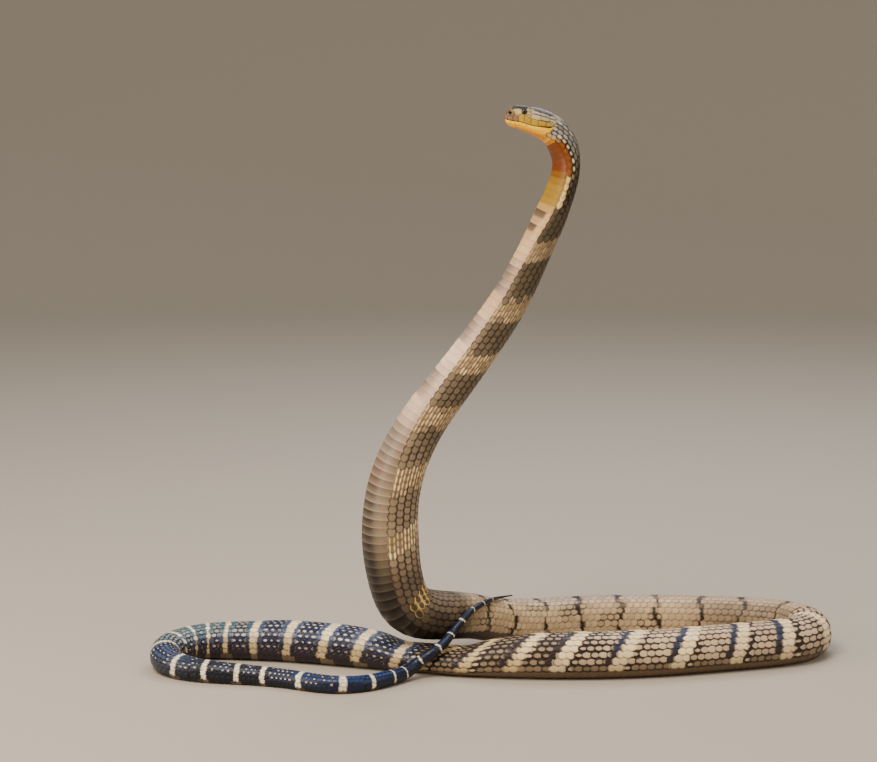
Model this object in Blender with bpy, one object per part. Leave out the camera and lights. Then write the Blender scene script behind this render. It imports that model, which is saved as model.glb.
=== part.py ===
"""King cobra, life size, reared up with its mouth closed and its loops resting on the floor.

The body is one smooth centreline from snout to tail tip, swept with a section that changes along
it and parted into named lengths with thin gaps. Belly scutes are raised plates. Metres, +Z up; the
origin lies on the floor under the middle of the box round the whole animal.
"""

import math

import bmesh
import bpy
import numpy as np
from mathutils import Vector

# Gap kept between pieces that touch
GAP = 0.0003

# Centreline from snout to tail tip: x to the right, y away, z up
ROUTE = [
    # head and the bend behind it
    (0.0075, -0.0490, 0.7530), (0.0330, -0.0468, 0.7490), (0.0560, -0.0450, 0.7445),
    (0.0745, -0.0437, 0.7330), (0.0855, -0.0430, 0.7130), (0.0890, -0.0430, 0.6850),
    # hood and the raised body, down to the base
    (0.0815, -0.0430, 0.6540), (0.0663, -0.0430, 0.6156), (0.0420, -0.0430, 0.5623),
    (0.0149, -0.0430, 0.5087), (-0.0210, -0.0430, 0.4548), (-0.0605, -0.0430, 0.4007),
    (-0.1000, -0.0430, 0.3463), (-0.1286, -0.0430, 0.2915), (-0.1437, -0.0430, 0.2365),
    (-0.1459, -0.0430, 0.1813), (-0.1400, -0.0415, 0.1300), (-0.1215, -0.0365, 0.0870),
    # over the crossing and down to the floor behind it
    (-0.0840, -0.0135, 0.0685), (-0.0400, 0.0290, 0.0560), (0.0080, 0.0780, 0.0360),
    (0.0600, 0.1090, 0.0290),
    # rear run and right bend
    (0.1249, 0.1280, 0.0270), (0.2125, 0.1360, 0.0270), (0.2982, 0.1300, 0.0270),
    (0.3688, 0.1180, 0.0270), (0.4220, 0.0930, 0.0270), (0.4400, 0.0500, 0.0270),
    (0.4190, 0.0100, 0.0270),
    # front run, which passes under the base
    (0.3756, -0.0140, 0.0270), (0.3100, -0.0350, 0.0270), (0.2207, -0.0600, 0.0270),
    (0.1386, -0.0720, 0.0270), (0.0575, -0.0720, 0.0265), (-0.0234, -0.0600, 0.0230),
    (-0.0999, -0.0380, 0.0157), (-0.1745, -0.0200, 0.0225),
    # left run and left bend
    (-0.2250, -0.0060, 0.0255), (-0.2900, 0.0110, 0.0250), (-0.3600, 0.0219, 0.0235),
    (-0.4150, 0.0190, 0.0220), (-0.4510, -0.0130, 0.0200), (-0.4470, -0.0620, 0.0175),
    (-0.4060, -0.0945, 0.0150),
    # tail in front, then up over the crossing and the base
    (-0.3457, -0.1094, 0.0130), (-0.2700, -0.1330, 0.0115), (-0.2140, -0.1540, 0.0110),
    (-0.1680, -0.1390, 0.0105), (-0.1430, -0.1180, 0.0105), (-0.1240, -0.0975, 0.0120),
    (-0.1095, -0.0872, 0.0200), (-0.0942, -0.0848, 0.0305), (-0.0800, -0.0772, 0.0395),
    (-0.0690, -0.0610, 0.0462), (-0.0600, -0.0460, 0.0540), (-0.0492, -0.0382, 0.0655),
    (-0.0375, -0.0255, 0.0758), (-0.0230, -0.0040, 0.0806), (-0.0060, 0.0270, 0.0808),
    (0.0100, 0.0650, 0.0756), (0.0253, 0.1020, 0.0690),
]

# Girth along the body: distance from the snout, half width, back above and belly below the
# centreline, all in millimetres
GIRTH = [
    # snout, eyes, jaws and the nape
    (0, 5.0, 4.5, 4.0), (2, 8.3, 8.5, 7.5), (6, 10.4, 13.0, 11.5), (12, 12.0, 16.2, 13.5),
    (20, 13.8, 17.4, 15.0), (33, 17.0, 17.3, 18.0), (46, 20.3, 17.0, 21.0), (58, 21.4, 16.8, 22.0),
    (71, 20.4, 16.8, 21.0), (95, 20.5, 17.6, 19.2), (110, 23.0, 15.6, 16.2),
    # narrow hood and the raised body
    (123, 25.0, 14.2, 14.4), (160, 26.0, 16.0, 15.5), (196, 26.0, 19.4, 18.9), (255, 25.5, 22.6, 21.6),
    (315, 27.0, 25.3, 24.8), (380, 28.0, 27.4, 26.9), (447, 29.5, 29.3, 28.8), (514, 31.0, 31.0, 30.5),
    (576, 33.5, 33.5, 33.0), (633, 35.5, 36.0, 35.0), (688, 37.0, 38.0, 37.0), (740, 36.5, 37.0, 35.6),
    (787, 35.5, 35.5, 35.4), (838, 34.5, 34.0, 31.5), (897, 34.0, 33.0, 29.5), (964, 33.5, 33.0, 28.5),
    (1025, 33.0, 33.0, 28.5),
    # loops on the floor, pressed flat where the base lies on them
    (1790, 33.0, 33.0, 28.5), (1868, 33.5, 31.0, 28.0), (1930, 35.0, 25.0, 24.5), (1990, 37.0, 17.2, 17.2),
    (2060, 37.0, 17.4, 17.2), (2107, 34.0, 25.0, 23.6), (2159, 32.0, 28.0, 26.5), (2227, 30.0, 29.0, 26.5),
    (2295, 28.0, 26.5, 25.0), (2346, 26.0, 25.0, 23.5), (2391, 24.0, 23.0, 21.5), (2442, 20.0, 20.0, 19.0),
    # tail
    (2492, 17.0, 17.0, 16.0), (2550, 14.5, 14.5, 14.0), (2634, 12.5, 12.5, 12.5), (2697, 12.0, 12.0, 12.0),
    (2747, 11.0, 11.0, 11.0), (2785, 10.0, 10.0, 10.0), (2815, 9.2, 9.2, 9.2), (2855, 7.6, 7.6, 7.6),
    (2895, 6.0, 6.0, 6.0), (2945, 4.7, 4.7, 4.7), (2985, 3.7, 3.7, 3.7), (3030, 2.5, 2.5, 2.5),
    (3085, 1.2, 1.2, 1.2), (3120, 0.8, 0.8, 0.8),
]

# How the belly turns: down on the head and the loops, sideways on the raised body, where it also
# twists (distance from the snout, degrees towards the viewer)
BELLY_TWIST = [
    (0.060, 26.0), (0.180, 24.0), (0.240, 9.0), (0.300, 3.0), (0.440, 3.5), (0.540, 12.0), (0.620, 22.0),
    (0.760, 24.0),
]
BELLY_TURNS_AT = (0.060, 0.120)
BELLY_RETURNS_AT = (0.700, 0.950)

# Stretch that lies on the floor, and how far its round belly is pressed flat there
FLOOR_FROM = (1.000, 1.060)
FLOOR_TO = (2.740, 2.790)
FLOOR_CLAMP_FROM = 0.940
PRESS = 0.0015

# Section: how boxy the head and the body are
HEAD_BOX = 2.7
BODY_BOX = 2.3
HEAD_ENDS = 0.075

# Rings of the head: close together round the snout, then evenly spaced
HEAD_SIDES = 24
SNOUT_RINGS = [0.0, 0.0008, 0.0022, 0.0042, 0.0070]
HEAD_RING_STEP = 0.0030

# Belly scutes, raised towards their rear edge
SCUTE_RISE = 0.0009
SCUTE_STEP = 0.0009
SCUTE_HALF_ARC = math.radians(62.0)
SCUTE_EDGE = 0.25

# Brow ridge over each eye
BROW_AT = 0.0255
BROW_LENGTH = 0.0060
BROW_RISE = 0.0011
BROW_ANGLE = math.radians(50.0)
BROW_ARC = math.radians(16.0)

# Mouth line seen from the side: distance behind the snout point, and height over it
MOUTH = [
    (-0.0200, -0.0030), (-0.0010, -0.0043), (0.0108, -0.0065), (0.0200, -0.0079), (0.0330, -0.0122),
    (0.0466, -0.0142), (0.0573, -0.0152), (0.0630, -0.0138),
]
JAW_BACK_DROP = (-0.0080, -0.0500)
JAW_INSET = 0.965
MOUTH_CUT_REACH = 0.040

# Eye and nostril, from the snout point
EYE_BACK = 0.0245
EYE_UP = 0.0058
EYE_RADIUS = 0.0043
EYE_SUNK = 0.0031
NOSTRIL_BACK = 0.0057
NOSTRIL_UP = 0.0046
NOSTRIL_RADIUS = 0.0013

# Named lengths: start, end, sides of the section, ring spacing or scute pitch, scutes or not, colour
LENGTHS = [
    ("neck", 0.075, 0.200, 18, 0.0104, True, "ochre"),
    ("raised_body_upper", 0.200, 0.360, 16, 0.0104, True, "olive"),
    ("raised_body_middle", 0.360, 0.520, 16, 0.0104, True, "tan"),
    ("raised_body_lower", 0.520, 0.680, 16, 0.0104, True, "olive"),
    ("body_base", 0.680, 0.830, 16, 0.0104, True, "tan"),
    ("body_over_crossing", 0.830, 1.030, 16, 0.0208, True, "olive"),
    ("rear_run_left", 1.030, 1.190, 16, 0.0208, True, "tan"),
    ("rear_run_right", 1.190, 1.360, 16, 0.0208, True, "olive"),
    ("right_bend_back", 1.360, 1.450, 16, 0.0104, True, "tan"),
    ("right_bend_front", 1.450, 1.540, 16, 0.0104, True, "olive"),
    ("front_run_right", 1.540, 1.720, 16, 0.0208, True, "cream"),
    ("front_run_left", 1.720, 1.920, 16, 0.0208, True, "tan"),
    ("body_under_base", 1.920, 2.100, 16, 0.0208, True, "cream"),
    ("left_run_inner", 2.100, 2.235, 16, 0.0208, True, "navy"),
    ("left_run_outer", 2.235, 2.370, 16, 0.0208, True, "cream"),
    ("left_bend_back", 2.370, 2.440, 16, 0.0104, True, "navy"),
    ("left_bend_front", 2.440, 2.515, 16, 0.0104, True, "cream"),
    ("tail_base", 2.515, 2.660, 12, 0.0140, False, "navy"),
    ("tail_middle", 2.660, 2.800, 12, 0.0120, False, "cream"),
    ("tail_rise", 2.800, 2.925, 10, 0.0080, False, "navy"),
    ("tail_tip", 2.925, None, 8, 0.0090, False, "cream"),
]

# Colours as linear RGB, with roughness
COLOURS = {
    "crown": ((0.115, 0.095, 0.060), 0.45),
    "jaw": ((0.660, 0.450, 0.160), 0.45),
    "eye": ((0.010, 0.008, 0.006), 0.08),
    "ochre": ((0.420, 0.170, 0.040), 0.50),
    "olive": ((0.120, 0.100, 0.062), 0.50),
    "tan": ((0.330, 0.260, 0.160), 0.50),
    "cream": ((0.470, 0.400, 0.270), 0.50),
    "navy": ((0.030, 0.045, 0.095), 0.45),
}


def clear_scene():
    """Take out whatever objects the file opened with."""
    for obj in list(bpy.data.objects):
        bpy.data.objects.remove(obj, do_unlink=True)


def smooth_through(points, count):
    """Natural cubic spline through points: its distances along, its points, and the knots' distances."""
    knots = np.array(points, float)
    hops = np.linalg.norm(np.diff(knots, axis=0), axis=1)
    at = np.concatenate([[0.0], np.cumsum(hops)])
    size = len(knots)
    matrix = np.eye(size)
    right = np.zeros((size, 3))
    for i in range(1, size - 1):
        before, after = hops[i - 1], hops[i]
        matrix[i, i - 1:i + 2] = before, 2.0 * (before + after), after
        right[i] = 6.0 * ((knots[i + 1] - knots[i]) / after - (knots[i] - knots[i - 1]) / before)
    bend = np.linalg.solve(matrix, right)
    along = np.linspace(0.0, at[-1], count)
    cell = np.clip(np.searchsorted(at, along, side="right") - 1, 0, size - 2)
    hop = hops[cell][:, None]
    left = (at[cell + 1] - along)[:, None]
    gone = (along - at[cell])[:, None]
    line = (bend[cell] * left ** 3 + bend[cell + 1] * gone ** 3) / (6.0 * hop)
    line += (knots[cell] / hop - bend[cell] * hop / 6.0) * left
    line += (knots[cell + 1] / hop - bend[cell + 1] * hop / 6.0) * gone
    distance = np.concatenate([[0.0], np.cumsum(np.linalg.norm(np.diff(line, axis=0), axis=1))])
    return distance, line


def monotone(x, knots_x, knots_y):
    """Shape-keeping cubic through (knots_x, knots_y) at x, with no overshoot between knots."""
    step = np.diff(knots_x)
    slope = np.diff(knots_y) / step
    tangent = np.zeros(len(knots_x))
    same = slope[:-1] * slope[1:] > 0.0
    weight_a = 2.0 * step[1:] + step[:-1]
    weight_b = step[1:] + 2.0 * step[:-1]
    inner = np.zeros(len(slope) - 1)
    total = weight_a + weight_b
    inner[same] = total[same] / (weight_a[same] / slope[:-1][same] + weight_b[same] / slope[1:][same])
    tangent[1:-1] = inner
    tangent[0] = slope[0]
    tangent[-1] = slope[-1]
    cell = np.clip(np.searchsorted(knots_x, x, side="right") - 1, 0, len(step) - 1)
    t = np.clip((x - knots_x[cell]) / step[cell], 0.0, 1.0)
    rise = tangent[cell] * step[cell]
    fall = tangent[cell + 1] * step[cell]
    low, high = knots_y[cell], knots_y[cell + 1]
    bend = (2.0 * t ** 3 - 3.0 * t ** 2 + 1.0) * low + (t ** 3 - 2.0 * t ** 2 + t) * rise
    return bend + (-2.0 * t ** 3 + 3.0 * t ** 2) * high + (t ** 3 - t ** 2) * fall


def ease(value, low, high):
    """Smooth step from 0 at low to 1 at high."""
    t = np.clip((value - low) / (high - low), 0.0, 1.0)
    return t * t * (3.0 - 2.0 * t)


def unit(vectors):
    """Vectors scaled to length one."""
    return vectors / np.linalg.norm(vectors, axis=-1, keepdims=True)


class Body:
    """The swept body: centreline, frames and girth at any distance from the snout."""

    def __init__(self):
        self.at, self.line = smooth_through(ROUTE, 4000)
        self.length = self.at[-1]
        girth = np.array(GIRTH) / 1000.0
        self.half, self.back, self.belly = (monotone(self.at, girth[:, 0], girth[:, c]) for c in (1, 2, 3))
        rests = ease(self.at, *FLOOR_FROM) * (1.0 - ease(self.at, *FLOOR_TO))
        self.line[:, 2] += rests * (self.belly - PRESS - self.line[:, 2])
        self.tailward = unit(np.gradient(self.line, self.at, axis=0))
        turned = ease(self.at, *BELLY_TURNS_AT) * (1.0 - ease(self.at, *BELLY_RETURNS_AT))
        down = np.array([0.0, 0.0, -1.0])
        twist = np.array(BELLY_TWIST)
        twist = np.radians(monotone(self.at, twist[:, 0], twist[:, 1]))
        side = np.stack([-np.cos(twist), -np.sin(twist), 0.0 * twist], axis=1)
        belly_way = down * (1.0 - turned)[:, None] + side * turned[:, None]
        belly_way -= np.sum(belly_way * self.tailward, axis=1)[:, None] * self.tailward
        self.belly_way = unit(belly_way)

    def pick(self, values, s):
        """Value of a quantity at distance s."""
        if values.ndim == 1:
            return np.interp(s, self.at, values)
        return np.array([np.interp(s, self.at, values[:, c]) for c in range(3)])

    def frame(self, s):
        """Centre, tailward, belly and right-hand directions at distance s."""
        tailward = unit(self.pick(self.tailward, s))
        belly = self.pick(self.belly_way, s)
        belly = unit(belly - np.dot(belly, tailward) * tailward)
        return self.pick(self.line, s), tailward, belly, np.cross(tailward, belly)

    def ring(self, s, sides, plate=0.0, shift=0.0, inset=1.0):
        """Points round the section at s, from the belly; plate is how far its scute stands out."""
        centre, tailward, belly, across = self.frame(s)
        half = self.pick(self.half, s) * inset
        head = 1.0 - float(ease(s, HEAD_ENDS - 0.030, HEAD_ENDS + 0.020))
        power = 2.0 / (BODY_BOX + (HEAD_BOX - BODY_BOX) * head)
        points = []
        for k in range(sides):
            turn = -math.pi / 2.0 + 2.0 * math.pi * (k + 0.5) / sides
            cosine, sine = math.cos(turn), math.sin(turn)
            reach = self.pick(self.back if sine > 0.0 else self.belly, s)
            x = math.copysign(abs(cosine) ** power, cosine) * half
            y = math.copysign(abs(sine) ** power, sine) * reach
            grow = plate * belly_share(turn) + brow_share(s, turn) * BROW_RISE
            stretch = 1.0 + grow / math.hypot(x, y)
            point = centre + shift * tailward + across * x * stretch - belly * y * stretch
            if s > FLOOR_CLAMP_FROM:
                point[2] = max(point[2], 0.0)
            points.append(Vector(point))
        return points


def belly_share(turn):
    """How much of a scute's rise a point takes, by its angle round the section."""
    from_belly = abs((turn + math.pi / 2.0 + math.pi) % (2.0 * math.pi) - math.pi)
    return 1.0 - float(ease(from_belly, SCUTE_HALF_ARC - SCUTE_EDGE, SCUTE_HALF_ARC + SCUTE_EDGE))


def brow_share(s, turn):
    """How much of the brow ridge a point takes."""
    from_brow = min(abs(turn - BROW_ANGLE), abs(turn - (math.pi - BROW_ANGLE)))
    return math.exp(-(((s - BROW_AT) / BROW_LENGTH) ** 2) - (from_brow / BROW_ARC) ** 2)


def finish(name):
    """Material in the named colour."""
    material = bpy.data.materials.get(name) or bpy.data.materials.new(name)
    colour, roughness = COLOURS[name]
    material.use_nodes = True
    shader = material.node_tree.nodes["Principled BSDF"]
    shader.inputs["Base Color"].default_value = (*colour, 1.0)
    shader.inputs["Roughness"].default_value = roughness
    shader.inputs["Metallic"].default_value = 0.0
    return material


def add_object(name, mesh, collection, colour=None):
    """Object of a mesh in a collection, with its own finish."""
    obj = bpy.data.objects.new(name, mesh)
    collection.objects.link(obj)
    if colour:
        own = finish(colour).copy()
        own.name = name + "_finish"
        mesh.materials.append(own)
    return obj


def loft(name, rings):
    """Closed mesh through rings that all have the same number of points."""
    work = bmesh.new()
    loops = [[work.verts.new(point) for point in ring] for ring in rings]
    sides = len(loops[0])
    for first, second in zip(loops, loops[1:]):
        for k in range(sides):
            after = (k + 1) % sides
            work.faces.new((first[k], first[after], second[after], second[k]))
    work.faces.new(loops[0][::-1])
    work.faces.new(loops[-1])
    bmesh.ops.triangulate(work, faces=work.faces[:])
    bmesh.ops.recalc_face_normals(work, faces=work.faces[:])
    mesh = bpy.data.meshes.new(name)
    work.to_mesh(mesh)
    work.free()
    return mesh


def stations(start, end, pitch, scutes):
    """Ring distances between the two ends, with how far the scute stands out at each."""
    count = max(1, round((end - start) / pitch))
    pitch = (end - start) / count
    found = []
    for i in range(count):
        rear = start + (i + 1) * pitch
        if scutes and i < count - 1:
            found.append((rear - SCUTE_STEP, SCUTE_RISE))
            found.append((rear, 0.0))
        elif i < count - 1:
            found.append((rear, 0.0))
    return found


def build_length(body, collection, name, start, end, sides, pitch, scutes, colour):
    """One named length of the body, half a gap short of each neighbour."""
    last = end is None
    end = body.length if last else end
    rings = [body.ring(start, sides, shift=GAP / 2.0)]
    for s, plate in stations(start, end, pitch, scutes):
        rings.append(body.ring(s, sides, plate))
    rings.append(body.ring(end, sides, shift=0.0 if last else -GAP / 2.0))
    obj = add_object(name, loft(name, rings), collection, colour)
    obj.data.shade_smooth()
    obj.data.set_sharp_from_angle(angle=math.radians(50.0))
    return obj


def head_loft(body, name, inset):
    """The head's whole form from snout to nape, before the mouth parts it."""
    distances = SNOUT_RINGS + list(np.arange(SNOUT_RINGS[-1], HEAD_ENDS, HEAD_RING_STEP))[1:-1]
    rings = [body.ring(s, HEAD_SIDES, inset=inset) for s in distances]
    rings.append(body.ring(HEAD_ENDS, HEAD_SIDES, shift=-GAP / 2.0, inset=inset))
    return loft(name, rings)


def head_axes(body):
    """Snout point, straight back in plan, and across, for placing what sits on the head."""
    snout = Vector(body.line[0])
    nape = Vector(ROUTE[3])
    back = Vector((nape.x - snout.x, nape.y - snout.y, 0.0)).normalized()
    across = Vector((-back.y, back.x, 0.0))
    return snout, back, across


def mouth_block(body, collection, name, lowered):
    """Prism that holds everything under the mouth line, lowered by the given gap."""
    snout, back, across = head_axes(body)
    up = Vector((0.0, 0.0, 1.0))
    corner = MOUTH[-1]
    outline = [(a, h - lowered) for a, h in MOUTH[:-1]]
    outline.append((corner[0] - lowered, corner[1] - lowered))
    outline.append((corner[0] + JAW_BACK_DROP[0] - lowered, corner[1] + JAW_BACK_DROP[1]))
    outline.append((MOUTH[0][0], corner[1] + JAW_BACK_DROP[1]))
    sides = []
    for side in (-MOUTH_CUT_REACH, MOUTH_CUT_REACH):
        sides.append([snout + back * a + up * h + across * side for a, h in outline])
    block = add_object(name, loft(name, sides), collection)
    hide_cutter(block)
    return block


def hide_cutter(obj):
    """Mark a cutter so that it is neither rendered nor built."""
    obj.hide_render = True
    obj.display_type = "WIRE"


def ball(name, centre, radius, rings, collection, colour=None):
    """Round ball at a place."""
    work = bmesh.new()
    bmesh.ops.create_uvsphere(work, u_segments=2 * rings, v_segments=rings, radius=radius)
    bmesh.ops.translate(work, verts=work.verts, vec=centre)
    mesh = bpy.data.meshes.new(name)
    work.to_mesh(mesh)
    work.free()
    obj = add_object(name, mesh, collection, colour)
    mesh.shade_smooth()
    return obj


def cut(obj, cutter, keep="DIFFERENCE"):
    """Boolean of obj with cutter."""
    modifier = obj.modifiers.new(cutter.name, "BOOLEAN")
    modifier.operation = keep
    modifier.solver = "EXACT"
    modifier.object = cutter


def side_point(body, back_by, up_by, side):
    """Point of the head's skin at a distance behind the snout and a height over it, on one side."""
    snout, back, across = head_axes(body)
    target = snout + back * back_by + Vector((0.0, 0.0, up_by))
    centre, tailward, belly, right = body.frame(back_by)
    height = -np.dot(np.array(target) - centre, belly)
    reach = body.pick(body.back if height > 0.0 else body.belly, back_by)
    half = body.pick(body.half, back_by)
    width = half * (1.0 - min(abs(height) / reach, 0.99) ** HEAD_BOX) ** (1.0 / HEAD_BOX)
    skin = centre + tailward * np.dot(np.array(target) - centre, tailward)
    return Vector(skin - belly * height + right * width * side), Vector(right * side)


def build_head(body, collection, cutters):
    """Upper head, lower jaw and eyes."""
    upper = add_object("head", head_loft(body, "head", 1.0), collection, "crown")
    cut(upper, mouth_block(body, cutters, "mouth_cutter", 0.0))
    jaw = add_object("lower_jaw", head_loft(body, "lower_jaw", JAW_INSET), collection, "jaw")
    cut(jaw, mouth_block(body, cutters, "jaw_keeper", GAP), "INTERSECT")
    for label, side in (("left", -1.0), ("right", 1.0)):
        skin, outward = side_point(body, EYE_BACK, EYE_UP, side)
        centre = skin - outward * EYE_SUNK
        ball("eye_" + label, centre, EYE_RADIUS, 8, collection, "eye")
        socket = ball("socket_" + label, centre, EYE_RADIUS + GAP, 8, cutters)
        hide_cutter(socket)
        cut(upper, socket)
        nostril = ball("nostril_" + label, side_point(body, NOSTRIL_BACK, NOSTRIL_UP, side)[0],
                       NOSTRIL_RADIUS, 5, cutters)
        hide_cutter(nostril)
        cut(upper, nostril)
    for obj in (upper, jaw):
        obj.data.shade_smooth()
        obj.data.set_sharp_from_angle(angle=math.radians(40.0))


def main():
    """Build the snake."""
    clear_scene()
    solids = bpy.data.collections.new("king_cobra")
    cutters = bpy.data.collections.new("cutters")
    for collection in (solids, cutters):
        bpy.context.scene.collection.children.link(collection)
    body = Body()
    build_head(body, solids, cutters)
    for values in LENGTHS:
        build_length(body, solids, *values)


main()
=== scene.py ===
"""King cobra, reared up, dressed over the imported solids: skin, scales, belly scutes, head and eyes.

Every piece is laid on the same centreline and girth as the solids. The scales are plates instanced
by Geometry Nodes and wrapped on the body; the belly scutes, under-skin and head are swept meshes.
"""

import logging
import math
from dataclasses import dataclass, field
from enum import Enum

import bpy
import numpy as np
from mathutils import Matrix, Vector


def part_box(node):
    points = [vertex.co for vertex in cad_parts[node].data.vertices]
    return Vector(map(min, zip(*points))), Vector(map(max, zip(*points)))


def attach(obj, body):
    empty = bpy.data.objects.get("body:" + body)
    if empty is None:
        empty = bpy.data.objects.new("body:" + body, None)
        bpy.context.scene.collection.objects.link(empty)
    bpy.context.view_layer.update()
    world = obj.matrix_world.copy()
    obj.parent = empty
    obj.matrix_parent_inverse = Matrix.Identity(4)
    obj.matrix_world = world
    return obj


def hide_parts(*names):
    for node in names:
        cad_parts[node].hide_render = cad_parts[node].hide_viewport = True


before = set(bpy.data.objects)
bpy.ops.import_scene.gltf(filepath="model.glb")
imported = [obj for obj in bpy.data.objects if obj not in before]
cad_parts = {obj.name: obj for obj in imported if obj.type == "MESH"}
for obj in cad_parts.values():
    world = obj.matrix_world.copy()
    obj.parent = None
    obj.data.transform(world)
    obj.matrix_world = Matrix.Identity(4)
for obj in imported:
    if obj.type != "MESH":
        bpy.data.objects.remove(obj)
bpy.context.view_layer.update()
LOG = logging.getLogger("king_cobra")
BODY = "root"
SEED = 41
# Millimetres in a metre, and one of them in metres
PER_METRE = 1000.0
MM = 0.001
# Distance from the snout, past which no skin may reach under the floor
FLOOR_FROM = 0.940

# Centreline from snout to tail tip, in metres
ROUTE = [
    # head and the bend behind it
    (0.0075, -0.0490, 0.7530), (0.0330, -0.0468, 0.7490), (0.0560, -0.0450, 0.7445),
    (0.0745, -0.0437, 0.7330), (0.0855, -0.0430, 0.7130), (0.0890, -0.0430, 0.6850),
    # hood and the raised body, down to the base
    (0.0815, -0.0430, 0.6540), (0.0663, -0.0430, 0.6156), (0.0420, -0.0430, 0.5623),
    (0.0149, -0.0430, 0.5087), (-0.0210, -0.0430, 0.4548), (-0.0605, -0.0430, 0.4007),
    (-0.1000, -0.0430, 0.3463), (-0.1286, -0.0430, 0.2915), (-0.1437, -0.0430, 0.2365),
    (-0.1459, -0.0430, 0.1813), (-0.1400, -0.0415, 0.1300), (-0.1215, -0.0365, 0.0870),
    # over the crossing and down to the floor behind it
    (-0.0840, -0.0135, 0.0685), (-0.0400, 0.0290, 0.0560), (0.0080, 0.0780, 0.0360),
    (0.0600, 0.1090, 0.0290),
    # rear run and right bend
    (0.1249, 0.1280, 0.0270), (0.2125, 0.1360, 0.0270), (0.2982, 0.1300, 0.0270),
    (0.3688, 0.1180, 0.0270), (0.4220, 0.0930, 0.0270), (0.4400, 0.0500, 0.0270),
    (0.4190, 0.0100, 0.0270),
    # front run, which passes under the base
    (0.3756, -0.0140, 0.0270), (0.3100, -0.0350, 0.0270), (0.2207, -0.0600, 0.0270),
    (0.1386, -0.0720, 0.0270), (0.0575, -0.0720, 0.0265), (-0.0234, -0.0600, 0.0230),
    (-0.0999, -0.0380, 0.0157), (-0.1745, -0.0200, 0.0225),
    # left run and left bend
    (-0.2250, -0.0060, 0.0255), (-0.2900, 0.0110, 0.0250), (-0.3600, 0.0219, 0.0235),
    (-0.4150, 0.0190, 0.0220), (-0.4510, -0.0130, 0.0200), (-0.4470, -0.0620, 0.0175),
    (-0.4060, -0.0945, 0.0150),
    # tail in front, then up over the crossing and the base
    (-0.3457, -0.1094, 0.0130), (-0.2700, -0.1330, 0.0115), (-0.2140, -0.1540, 0.0110),
    (-0.1680, -0.1390, 0.0105), (-0.1430, -0.1180, 0.0105), (-0.1240, -0.0975, 0.0120),
    (-0.1095, -0.0872, 0.0200), (-0.0942, -0.0848, 0.0305), (-0.0800, -0.0772, 0.0395),
    (-0.0690, -0.0610, 0.0462), (-0.0600, -0.0460, 0.0540), (-0.0492, -0.0382, 0.0655),
    (-0.0375, -0.0255, 0.0758), (-0.0230, -0.0040, 0.0806), (-0.0060, 0.0270, 0.0808),
    (0.0100, 0.0650, 0.0756), (0.0253, 0.1020, 0.0690),
]

# Distance from the snout, half width, back above and belly below the centreline, in millimetres
GIRTH = [
    # snout, eyes, jaws and the nape
    (0, 5.0, 4.5, 4.0), (2, 8.3, 8.5, 7.5), (6, 10.4, 13.0, 11.5), (12, 12.0, 16.2, 13.5),
    (20, 13.8, 17.4, 15.0), (33, 17.0, 17.3, 18.0), (46, 20.3, 17.0, 21.0), (58, 21.4, 16.8, 22.0),
    (71, 20.4, 16.8, 21.0), (95, 20.5, 17.6, 19.2), (110, 23.0, 15.6, 16.2),
    # narrow hood and the raised body
    (123, 25.0, 14.2, 14.4), (160, 26.0, 16.0, 15.5), (196, 26.0, 19.4, 18.9), (255, 25.5, 22.6, 21.6),
    (315, 27.0, 25.3, 24.8), (380, 28.0, 27.4, 26.9), (447, 29.5, 29.3, 28.8), (514, 31.0, 31.0, 30.5),
    (576, 33.5, 33.5, 33.0), (633, 35.5, 36.0, 35.0), (688, 37.0, 38.0, 37.0), (740, 36.5, 37.0, 35.6),
    (787, 35.5, 35.5, 35.4), (838, 34.5, 34.0, 31.5), (897, 34.0, 33.0, 29.5), (964, 33.5, 33.0, 28.5),
    (1025, 33.0, 33.0, 28.5),
    # loops on the floor, pressed flat where the base lies on them
    (1790, 33.0, 33.0, 28.5), (1868, 33.5, 31.0, 28.0), (1930, 35.0, 25.0, 24.5), (1990, 37.0, 17.2, 17.2),
    (2060, 37.0, 17.4, 17.2), (2107, 34.0, 25.0, 23.6), (2159, 32.0, 28.0, 26.5), (2227, 30.0, 29.0, 26.5),
    (2295, 28.0, 26.5, 25.0), (2346, 26.0, 25.0, 23.5), (2391, 24.0, 23.0, 21.5), (2442, 20.0, 20.0, 19.0),
    # tail
    (2492, 17.0, 17.0, 16.0), (2550, 14.5, 14.5, 14.0), (2634, 12.5, 12.5, 12.5), (2697, 12.0, 12.0, 12.0),
    (2747, 11.0, 11.0, 11.0), (2785, 10.0, 10.0, 10.0), (2815, 9.2, 9.2, 9.2), (2855, 7.6, 7.6, 7.6),
    (2895, 6.0, 6.0, 6.0), (2945, 4.7, 4.7, 4.7), (2985, 3.7, 3.7, 3.7), (3030, 2.5, 2.5, 2.5),
    (3085, 1.2, 1.2, 1.2), (3120, 0.8, 0.8, 0.8),
]

# Twist of the belly on the raised body: distance from the snout, degrees towards the viewer
BELLY_TWIST = [
    (0.060, 26.0), (0.180, 24.0), (0.240, 9.0), (0.300, 3.0), (0.440, 3.5), (0.540, 12.0), (0.620, 22.0),
    (0.760, 24.0),
]

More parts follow.
